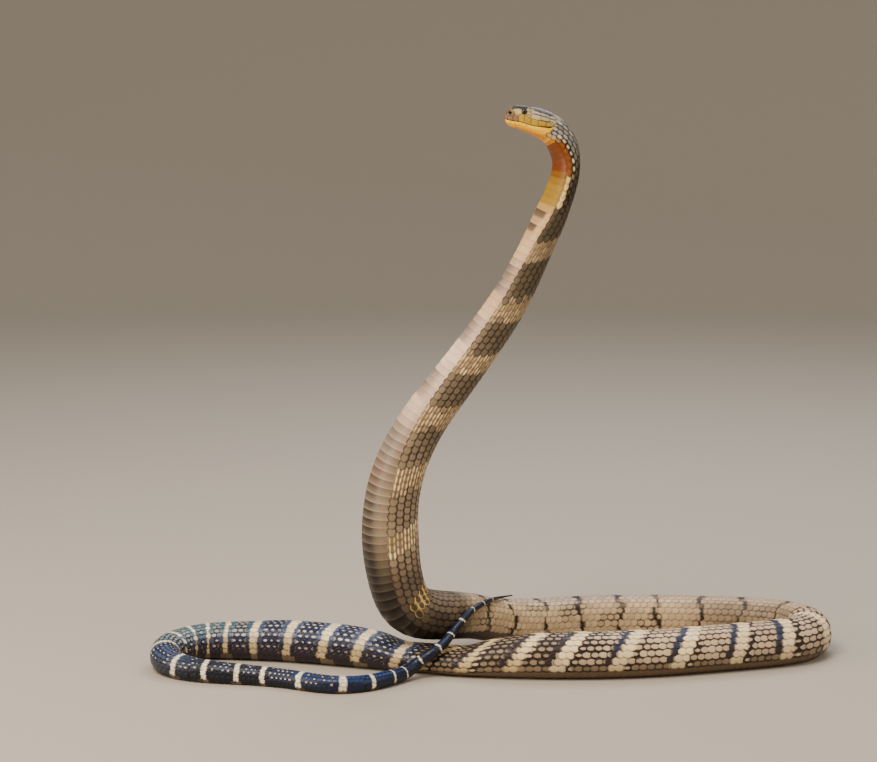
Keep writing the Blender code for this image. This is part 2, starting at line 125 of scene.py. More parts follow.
# Pale bands: distance of the middle from the snout and half width, in millimetres
RAISED_BANDS = [(231, 14), (319, 15), (405, 16), (494, 16), (587, 16), (678, 15), (776, 13)]
REAR_LINES = [
    (905, 1.6), (964, 2.2), (1033, 1.8), (1092, 2.2), (1154, 2.4), (1209, 1.6), (1274, 2.2), (1335, 2),
    (1397, 2), (1440, 1.6),
]
FRONT_BANDS = [
    (1473, 7), (1532, 7), (1598, 7), (1675, 9), (1755, 9), (1831, 9), (1889, 8), (1951, 7), (2008, 6),
]
LEFT_BANDS = [
    (2063, 6.5), (2118, 6), (2168, 6), (2223, 5.5), (2275, 5), (2317, 3), (2347, 2.2), (2372, 2),
    (2400, 2.0), (2434, 2.2),
]
TAIL_BANDS = [
    (2489, 2.8), (2530, 2.8), (2574, 2.8), (2611, 3), (2666, 3.6), (2723, 3.8), (2762, 2.2), (2796, 1.1),
    (2820, 0.8), (2853, 0.8), (2882, 0.7), (2915, 0.7), (2943, 0.6), (2968, 0.6), (2995, 0.5),
    (3022, 0.5),
]


def linear(hex_colour: str) -> tuple[float, float, float]:
    """Turn an sRGB hex colour to linear RGB.

    Args:
        hex_colour: six hex digits with a leading hash.

    Returns:
        Three linear values from 0 to 1.
    """
    parts = [int(hex_colour[i:i + 2], 16) / 255.0 for i in (1, 3, 5)]
    return tuple(p / 12.92 if p <= 0.04045 else ((p + 0.055) / 1.055) ** 2.4 for p in parts)


def ease(value: np.ndarray, low: float, high: float) -> np.ndarray:
    """Smooth step from 0 at low to 1 at high."""
    t = np.clip((np.asarray(value, float) - low) / (high - low), 0.0, 1.0)
    return t * t * (3.0 - 2.0 * t)


def window(value: np.ndarray, low: float, full: float, still: float, gone: float) -> np.ndarray:
    """Share that eases in from low to full and out again from still to gone."""
    return ease(value, low, full) * (1.0 - ease(value, still, gone))


def unit(vectors: np.ndarray) -> np.ndarray:
    """Vectors scaled to length one."""
    return vectors / np.maximum(np.linalg.norm(vectors, axis=-1, keepdims=True), 1e-12)


def blend(first: np.ndarray, second: np.ndarray, share: np.ndarray) -> np.ndarray:
    """Mix two sets of colours, share being how much of the second."""
    return first + (second - first) * np.asarray(share)[..., None]


def smooth_through(points: list, count: int) -> tuple[np.ndarray, np.ndarray]:
    """Natural cubic spline through points.

    Args:
        points: the knots, in order.
        count: how many points to read from the spline.

    Returns:
        Distances along the line, and its points.
    """
    knots = np.array(points, float)
    hops = np.linalg.norm(np.diff(knots, axis=0), axis=1)
    at = np.concatenate([[0.0], np.cumsum(hops)])
    size = len(knots)
    matrix = np.eye(size)
    right = np.zeros((size, 3))
    for i in range(1, size - 1):
        before, after = hops[i - 1], hops[i]
        matrix[i, i - 1:i + 2] = before, 2.0 * (before + after), after
        right[i] = 6.0 * ((knots[i + 1] - knots[i]) / after - (knots[i] - knots[i - 1]) / before)
    bend = np.linalg.solve(matrix, right)
    along = np.linspace(0.0, at[-1], count)
    cell = np.clip(np.searchsorted(at, along, side="right") - 1, 0, size - 2)
    hop = hops[cell][:, None]
    left = (at[cell + 1] - along)[:, None]
    gone = (along - at[cell])[:, None]
    line = (bend[cell] * left ** 3 + bend[cell + 1] * gone ** 3) / (6.0 * hop)
    line += (knots[cell] / hop - bend[cell] * hop / 6.0) * left
    line += (knots[cell + 1] / hop - bend[cell + 1] * hop / 6.0) * gone
    distance = np.concatenate([[0.0], np.cumsum(np.linalg.norm(np.diff(line, axis=0), axis=1))])
    return distance, line


def monotone(x: np.ndarray, knots_x: np.ndarray, knots_y: np.ndarray) -> np.ndarray:
    """Shape-keeping cubic through knots, with no overshoot between them.

    Args:
        x: where to read it.
        knots_x: rising places of the knots.
        knots_y: values at the knots.

    Returns:
        The values at x.
    """
    step = np.diff(knots_x)
    slope = np.diff(knots_y) / step
    same = slope[:-1] * slope[1:] > 0.0
    weight_a = 2.0 * step[1:] + step[:-1]
    weight_b = step[1:] + 2.0 * step[:-1]
    total = weight_a + weight_b
    inner = np.zeros(len(slope) - 1)
    inner[same] = total[same] / (weight_a[same] / slope[:-1][same] + weight_b[same] / slope[1:][same])
    tangent = np.concatenate([[slope[0]], inner, [slope[-1]]])
    cell = np.clip(np.searchsorted(knots_x, x, side="right") - 1, 0, len(step) - 1)
    t = np.clip((x - knots_x[cell]) / step[cell], 0.0, 1.0)
    rise = tangent[cell] * step[cell]
    fall = tangent[cell + 1] * step[cell]
    low, high = knots_y[cell], knots_y[cell + 1]
    value = (2.0 * t ** 3 - 3.0 * t ** 2 + 1.0) * low + (t ** 3 - 2.0 * t ** 2 + t) * rise
    return value + (-2.0 * t ** 3 + 3.0 * t ** 2) * high + (t ** 3 - t ** 2) * fall


@dataclass
class Body:
    """The swept form that every piece of skin is laid on.

    The section is a soft box, wider or flatter along the body. A point on it is named by its
    distance from the snout and its turn round the section, which is -90 degrees on the belly line.
    """

    belly_turns_at: tuple[float, float] = (0.060, 0.120)
    belly_returns_at: tuple[float, float] = (0.700, 0.950)
    floor_from: tuple[float, float] = (1.000, 1.060)
    floor_to: tuple[float, float] = (2.740, 2.790)
    press: float = 0.0015
    head_box: float = 2.7
    body_box: float = 2.3
    head_ends: float = 0.075
    head_blends: tuple[float, float] = (0.030, 0.020)
    throat_ends: tuple[float, float] = (0.170, 0.260)
    throat_half_arc: float = math.radians(56.0)
    belly_half_arc: float = math.radians(66.0)
    length: float = field(init=False)

    def __post_init__(self) -> None:
        """Work out the centreline, girth and directions."""
        self.at, self.line = smooth_through(ROUTE, 6000)
        self.length = float(self.at[-1])
        girth = np.array(GIRTH) / PER_METRE
        self.girth = np.stack([monotone(self.at, girth[:, 0], girth[:, c]) for c in (1, 2, 3)], axis=1)
        rests = window(self.at, *self.floor_from, *self.floor_to)
        self.line[:, 2] += rests * (self.girth[:, 2] - self.press - self.line[:, 2])
        self.tailward = unit(np.gradient(self.line, self.at, axis=0))
        turned = window(self.at, *self.belly_turns_at, *self.belly_returns_at)
        down = np.array([0.0, 0.0, -1.0])
        twist = np.array(BELLY_TWIST)
        twist = np.radians(monotone(self.at, twist[:, 0], twist[:, 1]))
        side = np.stack([-np.cos(twist), -np.sin(twist), 0.0 * twist], axis=1)
        belly = down * (1.0 - turned)[:, None] + side * turned[:, None]
        self.belly_way = unit(belly - np.sum(belly * self.tailward, axis=1)[:, None] * self.tailward)

    def read(self, values: np.ndarray, s: np.ndarray) -> np.ndarray:
        """Columns of a quantity at distances s."""
        return np.stack([np.interp(s, self.at, values[:, c]) for c in range(values.shape[1])], axis=-1)

    def surface(self, s: np.ndarray, turn: np.ndarray, lift: np.ndarray = 0.0) -> np.ndarray:
        """Points of the skin.

        Args:
            s: distances from the snout.
            turn: turns round the section, of the same shape.
            lift: heights over the plain form.

        Returns:
            Points, with one more axis than s.
        """
        s, turn, lift = np.broadcast_arrays(s, turn, lift)
        centre, tailward = self.read(self.line, s), unit(self.read(self.tailward, s))
        belly = self.read(self.belly_way, s)
        belly = unit(belly - np.sum(belly * tailward, axis=-1, keepdims=True) * tailward)
        across = np.cross(tailward, belly)
        girth = self.read(self.girth, s)
        head = 1.0 - ease(s, self.head_ends - self.head_blends[0], self.head_ends + self.head_blends[1])
        power = 2.0 / (self.body_box + (self.head_box - self.body_box) * head)
        cosine, sine = np.cos(turn), np.sin(turn)
        x = np.sign(cosine) * np.abs(cosine) ** power * girth[..., 0]
        y = np.sign(sine) * np.abs(sine) ** power * np.where(sine > 0.0, girth[..., 1], girth[..., 2])
        reach = np.maximum(np.hypot(x, y), 1e-6)
        x, y = x * (1.0 + lift / reach), y * (1.0 + lift / reach)
        return centre + across * x[..., None] - belly * y[..., None]

    def half_arc(self, s: np.ndarray) -> np.ndarray:
        """Turn from the belly line to the side end of the scutes."""
        wider = self.belly_half_arc - self.throat_half_arc
        return self.throat_half_arc + wider * ease(s, *self.throat_ends)

    def outward(self, s: np.ndarray, turn: np.ndarray) -> np.ndarray:
        """Outward directions of the skin at distances s and turns.

        Args:
            s: distances from the snout.
            turn: turns round the section.

        Returns:
            Unit vectors.
        """
        step_s, step_turn = 0.0015, math.radians(2.5)
        along = self.surface(s + step_s, turn) - self.surface(s - step_s, turn)
        around = self.surface(s, turn + step_turn) - self.surface(s, turn - step_turn)
        return unit(np.cross(around, along))

    def spread(self, s: float, shares: np.ndarray, low: float, high: float) -> np.ndarray:
        """Turns at equal steps of skin between two turns of one section.

        Args:
            s: the section's distance.
            shares: places from 0 to 1 between the two turns.
            low: first turn.
            high: last turn.

        Returns:
            The turns at those shares.
        """
        turns = np.linspace(low, high, 121)
        ring = self.surface(np.full(121, s), turns)
        steps = np.concatenate([[0.0], np.cumsum(np.linalg.norm(np.diff(ring, axis=0), axis=1))])
        return np.interp(shares * steps[-1], steps, turns)


# sRGB tones of the living animal, named for what they colour
TONES = {
    # raised body
    "hazel": "#6d5f4b", "fawn": "#8f7c64", "hazel_rim": "#2c2018", "bark": "#504533", "bark_rim": "#271c10",
    "straw": "#f4d6a6", "straw_rim": "#856f50", "buff": "#917e64", "buff_rim": "#4a3828",
    # shade and shade_rim: painted shade, for the lower side of the base where it curves down to the floor
    "umber": "#4d3f30", "gold_net": "#d8b768", "shade": "#140f09", "shade_rim": "#0a0704",
    # nape and neck
    "nape": "#6b6960", "nape_rim": "#211f17", "ash": "#c6bcba", "saddle": "#54442f", "soot": "#1c140c",
    "bone": "#c8b88e",
    # throat
    "lip_cream": "#ffcf18", "amber": "#ffb406", "rust": "#6c3401", "rust_edge": "#7e440a",
    "ochre": "#967520", "ochre_line": "#6b4a15", "butter": "#e2c78c", "primrose": "#cda671",
    "aubergine": "#2e2023",
    # belly
    "shell": "#f8dcbe", "sand": "#d6b184", "blush": "#b0938c", "sage": "#6f695e", "putty": "#836d5b",
    # the darkest belly tone is painted shade at the base; tan_belly and slate_belly, the loops' belly, are
    # darkened as painted shade under them, tan_belly only in part
    "drab": "#3d3427", "shaded_belly": "#150f08", "tan_belly": "#665440", "slate_belly": "#261e22",
    "ink_belly": "#0f121d",
    # loops
    # the tan and line tones for the top of the rear run are painted sky sheen
    "tan": "#d1b996", "tan_low": "#b8a07b", "tan_sky_sheen": "#bdb0a4", "tan_rim": "#a48a69",
    "tan_dark": "#b89e7b", "line": "#1f1612", "line_sky_sheen": "#453b44", "cream": "#c8b193",
    "cream_rim": "#3d2b1a", "net_rim": "#24180f", "band": "#f8e3b8", "band_rim": "#b59668",
    "bar": "#2b3550", "bar_rim": "#161b29", "plum_bar": "#2d2229", "dun": "#7f6d55", "navy": "#445577",
    # flank: the left run's black-brown lower flank, partly its own colour and partly painted shade toward the
    # floor
    "navy_rim": "#121625", "dark_and_shaded_flank": "#261d28", "pearl": "#fbe6c0", "pearl_rim": "#bba078", "dot": "#d6cbb8",
    "dot_rim": "#1b2440", "ink": "#1b366c", "ink_over": "#14233f", "ink_dark": "#151d2a",
    # teal: painted sky sheen on the top of the left bend
    "ink_rim": "#0b0f1b", "chalk": "#f6ecd9", "teal_sky_sheen": "#55767b", "olive_low": "#a08a50",
    # head
    # the pale crown line is a painted highlight along the top of the crown
    "crown": "#3a4027", "crown_top_glint": "#7b8560", "crown_dark": "#1d1710", "temple": "#a89c78",
    # lilac: painted sheen on the upper temples, as light from above
    "lilac_sheen": "#aca2a6", "cheek": "#b39d6b", "labial": "#b18f2c", "labial_low": "#6b4a12", "rosy": "#90694d",
    # the darkest head tone is painted shade in the mouth slit, nostrils and eye sockets, with the dark skin
    # round the eyes
    "snout": "#7a6048", "suture": "#1d140b", "lip_suture": "#c98a20", "dark_rim_and_hollow_shade": "#0f0b07",
    # chin: darker reddish brown under the jaw, partly its own colour and partly painted shade under the chin
    "chin": "#8a4a0a",
    # skin between the scales
    "between_dark": "#231709", "between_tan": "#5e462b", "between_pale": "#2e1f13",
    "between_ink": "#0c0e17",
}


def tone(name: str) -> np.ndarray:
    """Linear colour of a named tone."""
    return np.array(linear(TONES[name]))


def nearest_band(s: np.ndarray, bands: list) -> tuple[np.ndarray, np.ndarray]:
    """Find the pale band nearest to each place.

    Args:
        s: distances from the snout, in millimetres.
        bands: middles and half widths.

    Returns:
        Signed distance past the band's middle, and the band's half width.
    """
    table = np.array(bands, float)
    index = np.argmin(np.abs(s[..., None] - table[:, 0]), axis=-1)
    return s - table[index, 0], table[index, 1]


@dataclass
class ScaleColours:
    """Colours of many scales.

    Each has a middle and a rim tone, how far the middle reaches, how much it is a streak, and how
    soft its edge is.
    """

    tint: np.ndarray
    rim: np.ndarray
    spot: np.ndarray
    streak: np.ndarray
    soft: np.ndarray

    @classmethod
    def plain(cls, count: int, tint: str, rim: str, spot: float, streak: float = 0.0,
              soft: float = 0.22) -> "ScaleColours":
        """The same colours on every scale."""
        tints, rims = np.tile(tone(tint), (count, 1)), np.tile(tone(rim), (count, 1))
        return cls(tints, rims, np.full(count, spot), np.full(count, streak), np.full(count, soft))

    def mixed(self, other: "ScaleColours", share: np.ndarray) -> "ScaleColours":
        """These colours with a share of another set."""
        return ScaleColours(
            blend(self.tint, other.tint, share),
            blend(self.rim, other.rim, share),
            self.spot + (other.spot - self.spot) * share,
            self.streak + (other.streak - self.streak) * share,
            self.soft + (other.soft - self.soft) * share,
        )

    def over(self, share: np.ndarray, tint: str, rim: str, spot: float, streak: float = 0.0,
             soft: float = 0.22) -> "ScaleColours":
        """These colours with a share of one plain look laid over them."""
        return self.mixed(ScaleColours.plain(len(self.spot), tint, rim, spot, streak, soft), share)


class Markings:
    """Colours by distance from the snout in millimetres and by place round the body."""

    region_ends = (178.0, 850.0, 1440.0, 2035.0, 2440.0)

    def dorsal(self, s: np.ndarray, back: np.ndarray, draw: np.ndarray) -> ScaleColours:
        """Colours of the back scales.

        Args:
            s: distances from the snout.
            back: 0 on the spine to 1 beside the belly.
            draw: four random numbers from 0 to 1 for each scale.

        Returns:
            The colours of every scale.
        """
        regions = [self.neck, self.raised, self.rear, self.front, self.left, self.tail]
        which = np.searchsorted(self.region_ends, s + 14.0 * (draw[:, 0] - 0.5))
        found = ScaleColours.plain(len(s), "hazel", "hazel_rim", 0.7)
        for number, region in enumerate(regions):
            here = which == number
            if np.any(here):
                own = region(s[here], back[here], draw[here])
                for name in ("tint", "rim", "spot", "streak", "soft"):
                    getattr(found, name)[here] = getattr(own, name)
        shade = 1.0 + 0.24 * (draw[:, 1] - 0.5) + 0.05 * np.sin(s / 37.0)
        found.tint = np.clip(found.tint * shade[:, None], 0.0, 1.0)
        found.spot = found.spot + 0.10 * (draw[:, 3] - 0.5)
        return found

    def neck(self, s: np.ndarray, back: np.ndarray, draw: np.ndarray) -> ScaleColours:
        """Nape and hood: grey-brown, with a row of pale spots beside the orange throat.

        Args:
            s: distances from the snout.
            back: 0 on the spine to 1 beside the belly.
            draw: four random numbers for each scale.

        Returns:
            The colours of every scale.
        """
        ashen = draw[:, 2] ** 1.5 * (1.0 - 0.75 * ease(s, 74.0, 98.0))
        second = (back > 0.80) & (back < 0.95)
        throat = (
            ScaleColours.plain(len(s), "rust_edge", "rust", 0.60, 0.0, 0.44)
            .over(ease(s, 126.0, 140.0), "butter", "ochre", 0.80, 0.0, 0.34)
        )
        throat = ScaleColours.plain(len(s), "temple", "nape_rim", 0.84).mixed(throat, ease(s, 72.0, 88.0))
        return (
            ScaleColours.plain(len(s), "nape", "nape_rim", 0.74, 0.0, 0.30)
            .over(ashen, "ash", "nape_rim", 0.70, 0.0, 0.34)
            .over(ease(s, 92.0, 125.0), "saddle", "soot", 0.70, 0.4, 0.3)
            .over(ease(s, 155.0, 180.0), "bark", "bark_rim", 0.80)
            .over(second * window(s, 76.0, 90.0, 120.0, 140.0), "bone", "soot", 0.48, 0.1, 0.2)
            .over(second * ease(s, 128.0, 142.0), "bark", "soot", 0.60, 0.2)
            .mixed(throat, back > 0.95)
        )

    def raised(self, s: np.ndarray, back: np.ndarray, draw: np.ndarray) -> ScaleColours:
        """Raised body: brown scales with dark rims, parted by slanting straw-coloured bands.

        Args:
            s: distances from the snout.
            back: 0 on the spine to 1 beside the belly.
            draw: four random numbers for each scale.

        Returns:
            The colours of every scale.
        """
        past, half = nearest_band(s - 32.0 * (back - 0.62) + 5.0 * (draw[:, 2] - 0.5), RAISED_BANDS)
        pale = 1.0 - ease(np.abs(past), half - 1.5, half + 2.5)
        netted = ease(s, 745.0, 765.0)
        browned = ease(s, 700.0, 745.0) * (0.80 - 0.20 * ease(s, 750.0, 790.0))
        dark = (
            ScaleColours.plain(len(s), "hazel", "hazel_rim", 0.80, 0.1, 0.26)
            .over(1.0 - ease(s, 240.0, 420.0), "bark", "bark_rim", 0.80, 0.0, 0.3)
            .over(ease(s, 510.0, 590.0), "fawn", "hazel_rim", 0.82, 0.1, 0.26)
            .over(0.6 * (back > 0.95) * ease(s, 230.0, 420.0), "buff", "buff_rim", 0.86, 0.0, 0.26)
            .over(browned, "umber", "bark_rim", 0.80, 0.0, 0.26)
        )
        straw = ScaleColours.plain(len(s), "straw", "straw_rim", 0.66, 0.85, 0.40)
        straw.spot = straw.spot + 0.40 * (draw[:, 1] - 0.5)
        lit = 0.42 + 0.53 * ease(s, 235.0, 410.0) + 0.28 * ease(s, 550.0, 600.0)
        straw.tint = straw.tint * (0.70 + 0.34 * draw[:, 3])[:, None] * lit[:, None]
        # painted shade: near-black on the base's lower side and beside its belly, where shadow falls
        under = 0.8 * window(s, 784.0, 812.0, 820.0, 860.0) * ease(back, 0.48, 0.76)
        beside = 0.8 * ease(s, 745.0, 790.0) * ease(back, 0.70, 0.95)
        return (
            dark.mixed(straw, pale * (1.0 - netted))
            .over(pale * netted * window(back, 0.12, 0.24, 0.84, 0.97), "umber", "gold_net", 0.69, 0.0, 0.12)
            .over(0.85 * np.maximum(under, beside), "shade", "shade_rim", 0.80)
        )

    def rear(self, s: np.ndarray, back: np.ndarray, draw: np.ndarray) -> ScaleColours:
        """Rear run: streaky tan, with thin dark lines that follow the scale edges across it, and a painted
        sky sheen along its top.

        Args:
            s: distances from the snout.
            back: 0 on the spine to 1 beside the belly.
            draw: four random numbers for each scale.

        Returns:
            The colours of every scale.
        """
        waver = 4.0 * np.sin(back * 9.0 + s / 23.0) + 6.0 * (draw[:, 2] - 0.5)
        past, half = nearest_band(s + waver, REAR_LINES)
        patch = ease(np.sin(s / 19.0 + 1.3) * np.cos(back * 6.0 + s / 31.0), 0.15, 0.55)
        patch = patch * ease(back, 0.20, 0.45) * (draw[:, 1] < 0.6)
        wide = half + 0.6 + 2.0 * (1.0 - ease(back, 0.10, 0.35))
        dark = 1.0 - ease(np.abs(past), wide - 1.2, wide + 1.8)
        crack = (
            ScaleColours.plain(len(s), "line", "line", 0.40, 0.0, 0.14)
            # painted sky sheen: the lines purple-grey along the top rows
            .over(1.0 - ease(back, 0.10, 0.30), "line_sky_sheen", "line", 0.70)
        )
        return (
            ScaleColours.plain(len(s), "tan", "tan_rim", 0.80, 0.2, 0.34)
            .over(draw[:, 3] > 0.72, "tan_dark", "tan_rim", 0.80, 0.2, 0.3)
            # painted sky sheen: the top rows greyer and paler, as light from above
            .over(0.8 * (1.0 - ease(back, 0.05, 0.35)), "tan_sky_sheen", "tan_rim", 0.82)
            .over(0.7 * ease(back, 0.30, 0.70), "tan_low", "tan_rim", 0.80)
            .over(0.5 * ease(s, 1150.0, 1240.0), "tan_dark", "tan_rim", 0.80)
            .over(0.8 * patch, "tan_dark", "line", 0.66, 0.0, 0.16)
            .over(0.8 * ease(s, 1230.0, 1310.0) * ease(back, 0.12, 0.40), "dun", "umber", 0.80)
            .mixed(crack, dark * (0.70 + 0.30 * (draw[:, 1] > 0.3)))
            .over(1.0 - ease(s, 845.0, 900.0), "bark", "bark_rim", 0.78)
        )

    def front(self, s: np.ndarray, back: np.ndarray, draw: np.ndarray) -> ScaleColours:
        """Front run: cream bands, a navy bar behind each, and a dark-rimmed net between.

        Args:
            s: distances from the snout.
            back: 0 on the spine to 1 beside the belly.
            draw: four random numbers for each scale.

        Returns:
            The colours of every scale.
        """
        slant = 10.0 + 30.0 * ease(s, 1500.0, 1720.0)
        past, half = nearest_band(s - slant * (back - 0.45) + 3.0 * (draw[:, 2] - 0.5), FRONT_BANDS)
        bend = 0.5 * window(s, 1478.0, 1490.0, 1515.0, 1535.0) * (1.0 - ease(back, 0.70, 0.90))
        net = (
            ScaleColours.plain(len(s), "cream", "cream_rim", 0.78, 0.0, 0.14)
            .over(ease(s, 1650.0, 1820.0), "cream", "net_rim", 0.66, 0.0, 0.16)
            .over(0.95 * ease(s, 1790.0, 1900.0), "dun", "net_rim", 0.50, 0.0, 0.16)
            .over(ease(back, 0.80, 0.96), "dun", "net_rim", 0.72, 0.0, 0.18)
            .over(bend, "cream", "bar_rim", 0.68, 0.0, 0.16)
        )
        net.spot = net.spot + 0.20 * (draw[:, 1] - 0.5)
        bar = (
            ScaleColours.plain(len(s), "bar", "bar_rim", 0.8)
            .over(ease(s, 1740.0, 1880.0), "plum_bar", "net_rim", 0.8)
            .over(ease(back, 0.55, 0.80), "plum_bar", "net_rim", 0.8)
        )
        band = (
            ScaleColours.plain(len(s), "band", "band_rim", 0.86, 0.0, 0.24)
            .over(0.7 * ease(back, 0.72, 0.95), "tan_low", "umber", 0.84, 0.0, 0.24)
            .over(0.55 * ease(s, 1850.0, 1930.0), "olive_low", "umber", 0.84, 0.0, 0.24)
        )
        ahead = (1.0 - ease(np.abs(past + half + 6.0), 3.0, 5.5)) * (draw[:, 3] > 0.20)
        behind = (1.0 - ease(np.abs(past - half - 6.5), 3.5, 6.5)) * (1.0 - ease(back, 0.86, 0.98))
        return (
            net.over(ahead, "cream", "net_rim", 0.40, 0.0, 0.14)
            .mixed(bar, behind * ease(s, 1494.0, 1502.0))
            .mixed(band, 1.0 - ease(np.abs(past), half - 0.5, half + 1.5))
        )

    def left(self, s: np.ndarray, back: np.ndarray, draw: np.ndarray) -> ScaleColours:
        """Left run: cream bands between navy bars, with pale dots in the middle of each gap.

        Args:
            s: distances from the snout.
            back: 0 on the spine to 1 beside the belly.
            draw: four random numbers for each scale.

        Returns:
            The colours of every scale.
        """
        slant = 12.0 - 10.0 * ease(s, 2160.0, 2280.0)
        past, half = nearest_band(s - slant * (back - 0.45) + 2.0 * (draw[:, 2] - 0.5), LEFT_BANDS)
        away = np.abs(past) - half
        # the lower flank turns black-brown, partly its own colour and partly painted shade toward the floor
        dotted = (
            ScaleColours.plain(len(s), "dot", "dot_rim", 0.30, 0.0, 0.10)
            .over(ease(back, 0.55, 1.00), "dun", "dark_and_shaded_flank", 0.30, 0.0, 0.10)
        )
        dotted.spot = dotted.spot - 0.5 * ease(back, 0.86, 1.10) + 0.14 * (draw[:, 1] - 0.5)
        bar = (
            ScaleColours.plain(len(s), "navy", "navy_rim", 0.84, 0.0, 0.3)
            .over(ease(back, 0.50, 0.92), "dark_and_shaded_flank", "between_ink", 0.84, 0.0, 0.3)
        )
        band = (
            ScaleColours.plain(len(s), "pearl", "pearl_rim", 0.88, 0.0, 0.3)
            .over(0.75 * ease(back, 0.42, 0.85), "olive_low", "umber", 0.84, 0.0, 0.3)
        )
        # painted sky sheen: teal on the top of the left bend
        bend_sheen = 0.65 * window(s, 2255.0, 2310.0, 2420.0, 2460.0) * (1.0 - ease(back, 0.35, 0.80))
        return (
            dotted.mixed(bar, 1.0 - ease(away, 7.0, 9.5))
            .over(bend_sheen, "teal_sky_sheen", "navy_rim", 0.80, 0.0, 0.3)
            .mixed(band, 1.0 - ease(away, -0.4, 1.0))
        )

    def tail(self, s: np.ndarray, back: np.ndarray, draw: np.ndarray) -> ScaleColours:
        """Tail: blue-black, with chalky bands and small dots between.

        Args:
            s: distances from the snout.
            back: 0 on the spine to 1 beside the belly.
            draw: four random numbers for each scale.

        Returns:
            The colours of every scale.
        """
        past, half = nearest_band(s + 1.2 * (draw[:, 2] - 0.5), TAIL_BANDS)
        away = np.abs(past) - half
        sparse = (draw[:, 3] > 0.40) * ease(away, 7.0, 9.0) * (1.0 - ease(s, 2700.0, 2740.0)) * (back < 0.8)
        return (
            ScaleColours.plain(len(s), "navy", "navy_rim", 0.84, 0.0, 0.3)
            .over(ease(s, 2450.0, 2540.0), "ink_dark", "ink_rim", 0.84, 0.0, 0.3)
            .over(ease(s, 2600.0, 2690.0), "ink", "ink_rim", 0.84, 0.0, 0.3)
            .over(ease(s, 2770.0, 2830.0), "ink_over", "ink_rim", 0.84, 0.0, 0.3)
            .over(0.8 * ease(back, 0.40, 0.85), "between_ink", "between_ink", 0.84)
            .over(sparse, "dot", "dot_rim", 0.24, 0.0, 0.10)
            .over(1.0 - ease(away, -0.3, 0.8), "chalk", "pearl_rim", 0.90, 0.0, 0.3)
        )

    def ramp(self, s: np.ndarray, stops: list) -> np.ndarray:
        """Colours blended along the body through named stops.

        Args:
            s: distances from the snout.
            stops: pairs of distance and tone name.

        Returns:
            Linear colours.
        """
        places = [place for place, _ in stops]
        colours = np.array([tone(name) for _, name in stops])
        return np.stack([np.interp(s, places, colours[:, c]) for c in range(3)], axis=-1)

    def ventral(self, s: np.ndarray, across: np.ndarray, along: np.ndarray, near: np.ndarray) -> np.ndarray:
        """Colours of the belly scutes.

        Args:
            s: distance of each scute from the snout.
            across: 0 on the belly line to 1 at the scute's side end.
            along: 0 at the scute's front to 1 at its rear edge.
            near: random number from 0 to 1 for each scute.

        Returns:
            Linear colours.
        """
        # the belly darkens to painted shade toward the base, and stays darker on the loops, in part as
        # painted shade
        colours = self.ramp(s, [
            (66.0, "amber"), (84.0, "rust"), (126.0, "rust"), (146.0, "ochre"), (172.0, "ochre"),
            (192.0, "primrose"), (235.0, "sand"), (320.0, "sand"), (400.0, "shell"), (470.0, "shell"),
            (560.0, "putty"), (640.0, "drab"), (715.0, "shaded_belly"), (860.0, "shaded_belly"),
            (960.0, "tan_belly"), (2010.0, "tan_belly"), (2070.0, "slate_belly"), (2400.0, "slate_belly"),
            (2470.0, "ink_belly"), (3200.0, "ink_belly"),
        ])
        marks = np.maximum(1.0 - ease(np.abs(s - 194.0), 4.0, 9.0), 1.0 - ease(np.abs(s - 213.0), 5.0, 11.0))
        reach = 0.30 + 0.25 * near
        colours = blend(colours, tone("aubergine"), 0.85 * marks * (1.0 - ease(across, reach, reach + 0.22)))
        past, half = nearest_band(s - 14.0, RAISED_BANDS)
        between = ease(np.abs(past), half, half + 14.0) * window(s, 235.0, 260.0, 560.0, 660.0)
        clouded = between * (0.70 + 0.3 * near) * (1.0 - 0.8 * ease(across, 0.40, 0.95))
        colours = blend(colours, tone("sage"), clouded)
        colours = colours * (1.0 - 0.26 * between * (1.0 - ease(s, 300.0, 340.0)))[..., None]
        blush = window(s, 240.0, 270.0, 470.0, 560.0) * ease(across, 0.0, 0.5) * near
        colours = blend(colours, tone("blush"), 0.55 * blush)
        ends = window(s, 540.0, 640.0, 660.0, 760.0) * ease(across, 0.30, 0.80)
        colours = blend(colours, tone("buff"), 0.75 * ends)
        past, half = nearest_band(s, LEFT_BANDS + TAIL_BANDS)
        banded = (1.0 - ease(np.abs(past), half, half + 4.0)) * ease(s, 2050.0, 2080.0)
        colours = blend(colours, tone("tan_low"), 0.28 * banded)
        # painted shadow: each scute darker at its front, where it tucks under the rear edge of the scute
        # ahead
        crease = 0.16 + 0.20 * window(s, 200.0, 240.0, 430.0, 520.0)
        colours = colours * (1.0 - crease * (1.0 - ease(along, 0.0, 0.34)))[..., None]
        pale_edge = ease(along, 0.74, 0.97) * (0.20 + 0.12 * ease(s, 450.0, 560.0))
        pale_edge = pale_edge * (1.0 - 0.8 * ease(s, 620.0, 720.0)) * window(s, 170.0, 200.0, 780.0, 860.0)
        return blend(colours, tone("shell"), pale_edge)

    def between(self, s: np.ndarray, off_belly: np.ndarray) -> np.ndarray:
        """Colour of the skin between the scales.

        Args:
            s: distances from the snout.
            off_belly: turns from the belly line, in degrees.

        Returns:
            Linear colours.
        """
        back = self.ramp(s, [
            (60.0, "nape_rim"), (100.0, "soot"), (180.0, "between_dark"), (830.0, "between_dark"),
            (900.0, "between_tan"), (1420.0, "between_tan"), (1480.0, "between_pale"),
            (2000.0, "between_pale"), (2060.0, "between_ink"), (3200.0, "between_ink"),
        ])
        throat = self.ramp(s, [(60.0, "amber"), (84.0, "rust"), (126.0, "rust"), (150.0, "ochre_line")])
        return blend(back, throat, (1.0 - ease(off_belly, 62.0, 84.0)) * (1.0 - ease(s, 165.0, 190.0)))


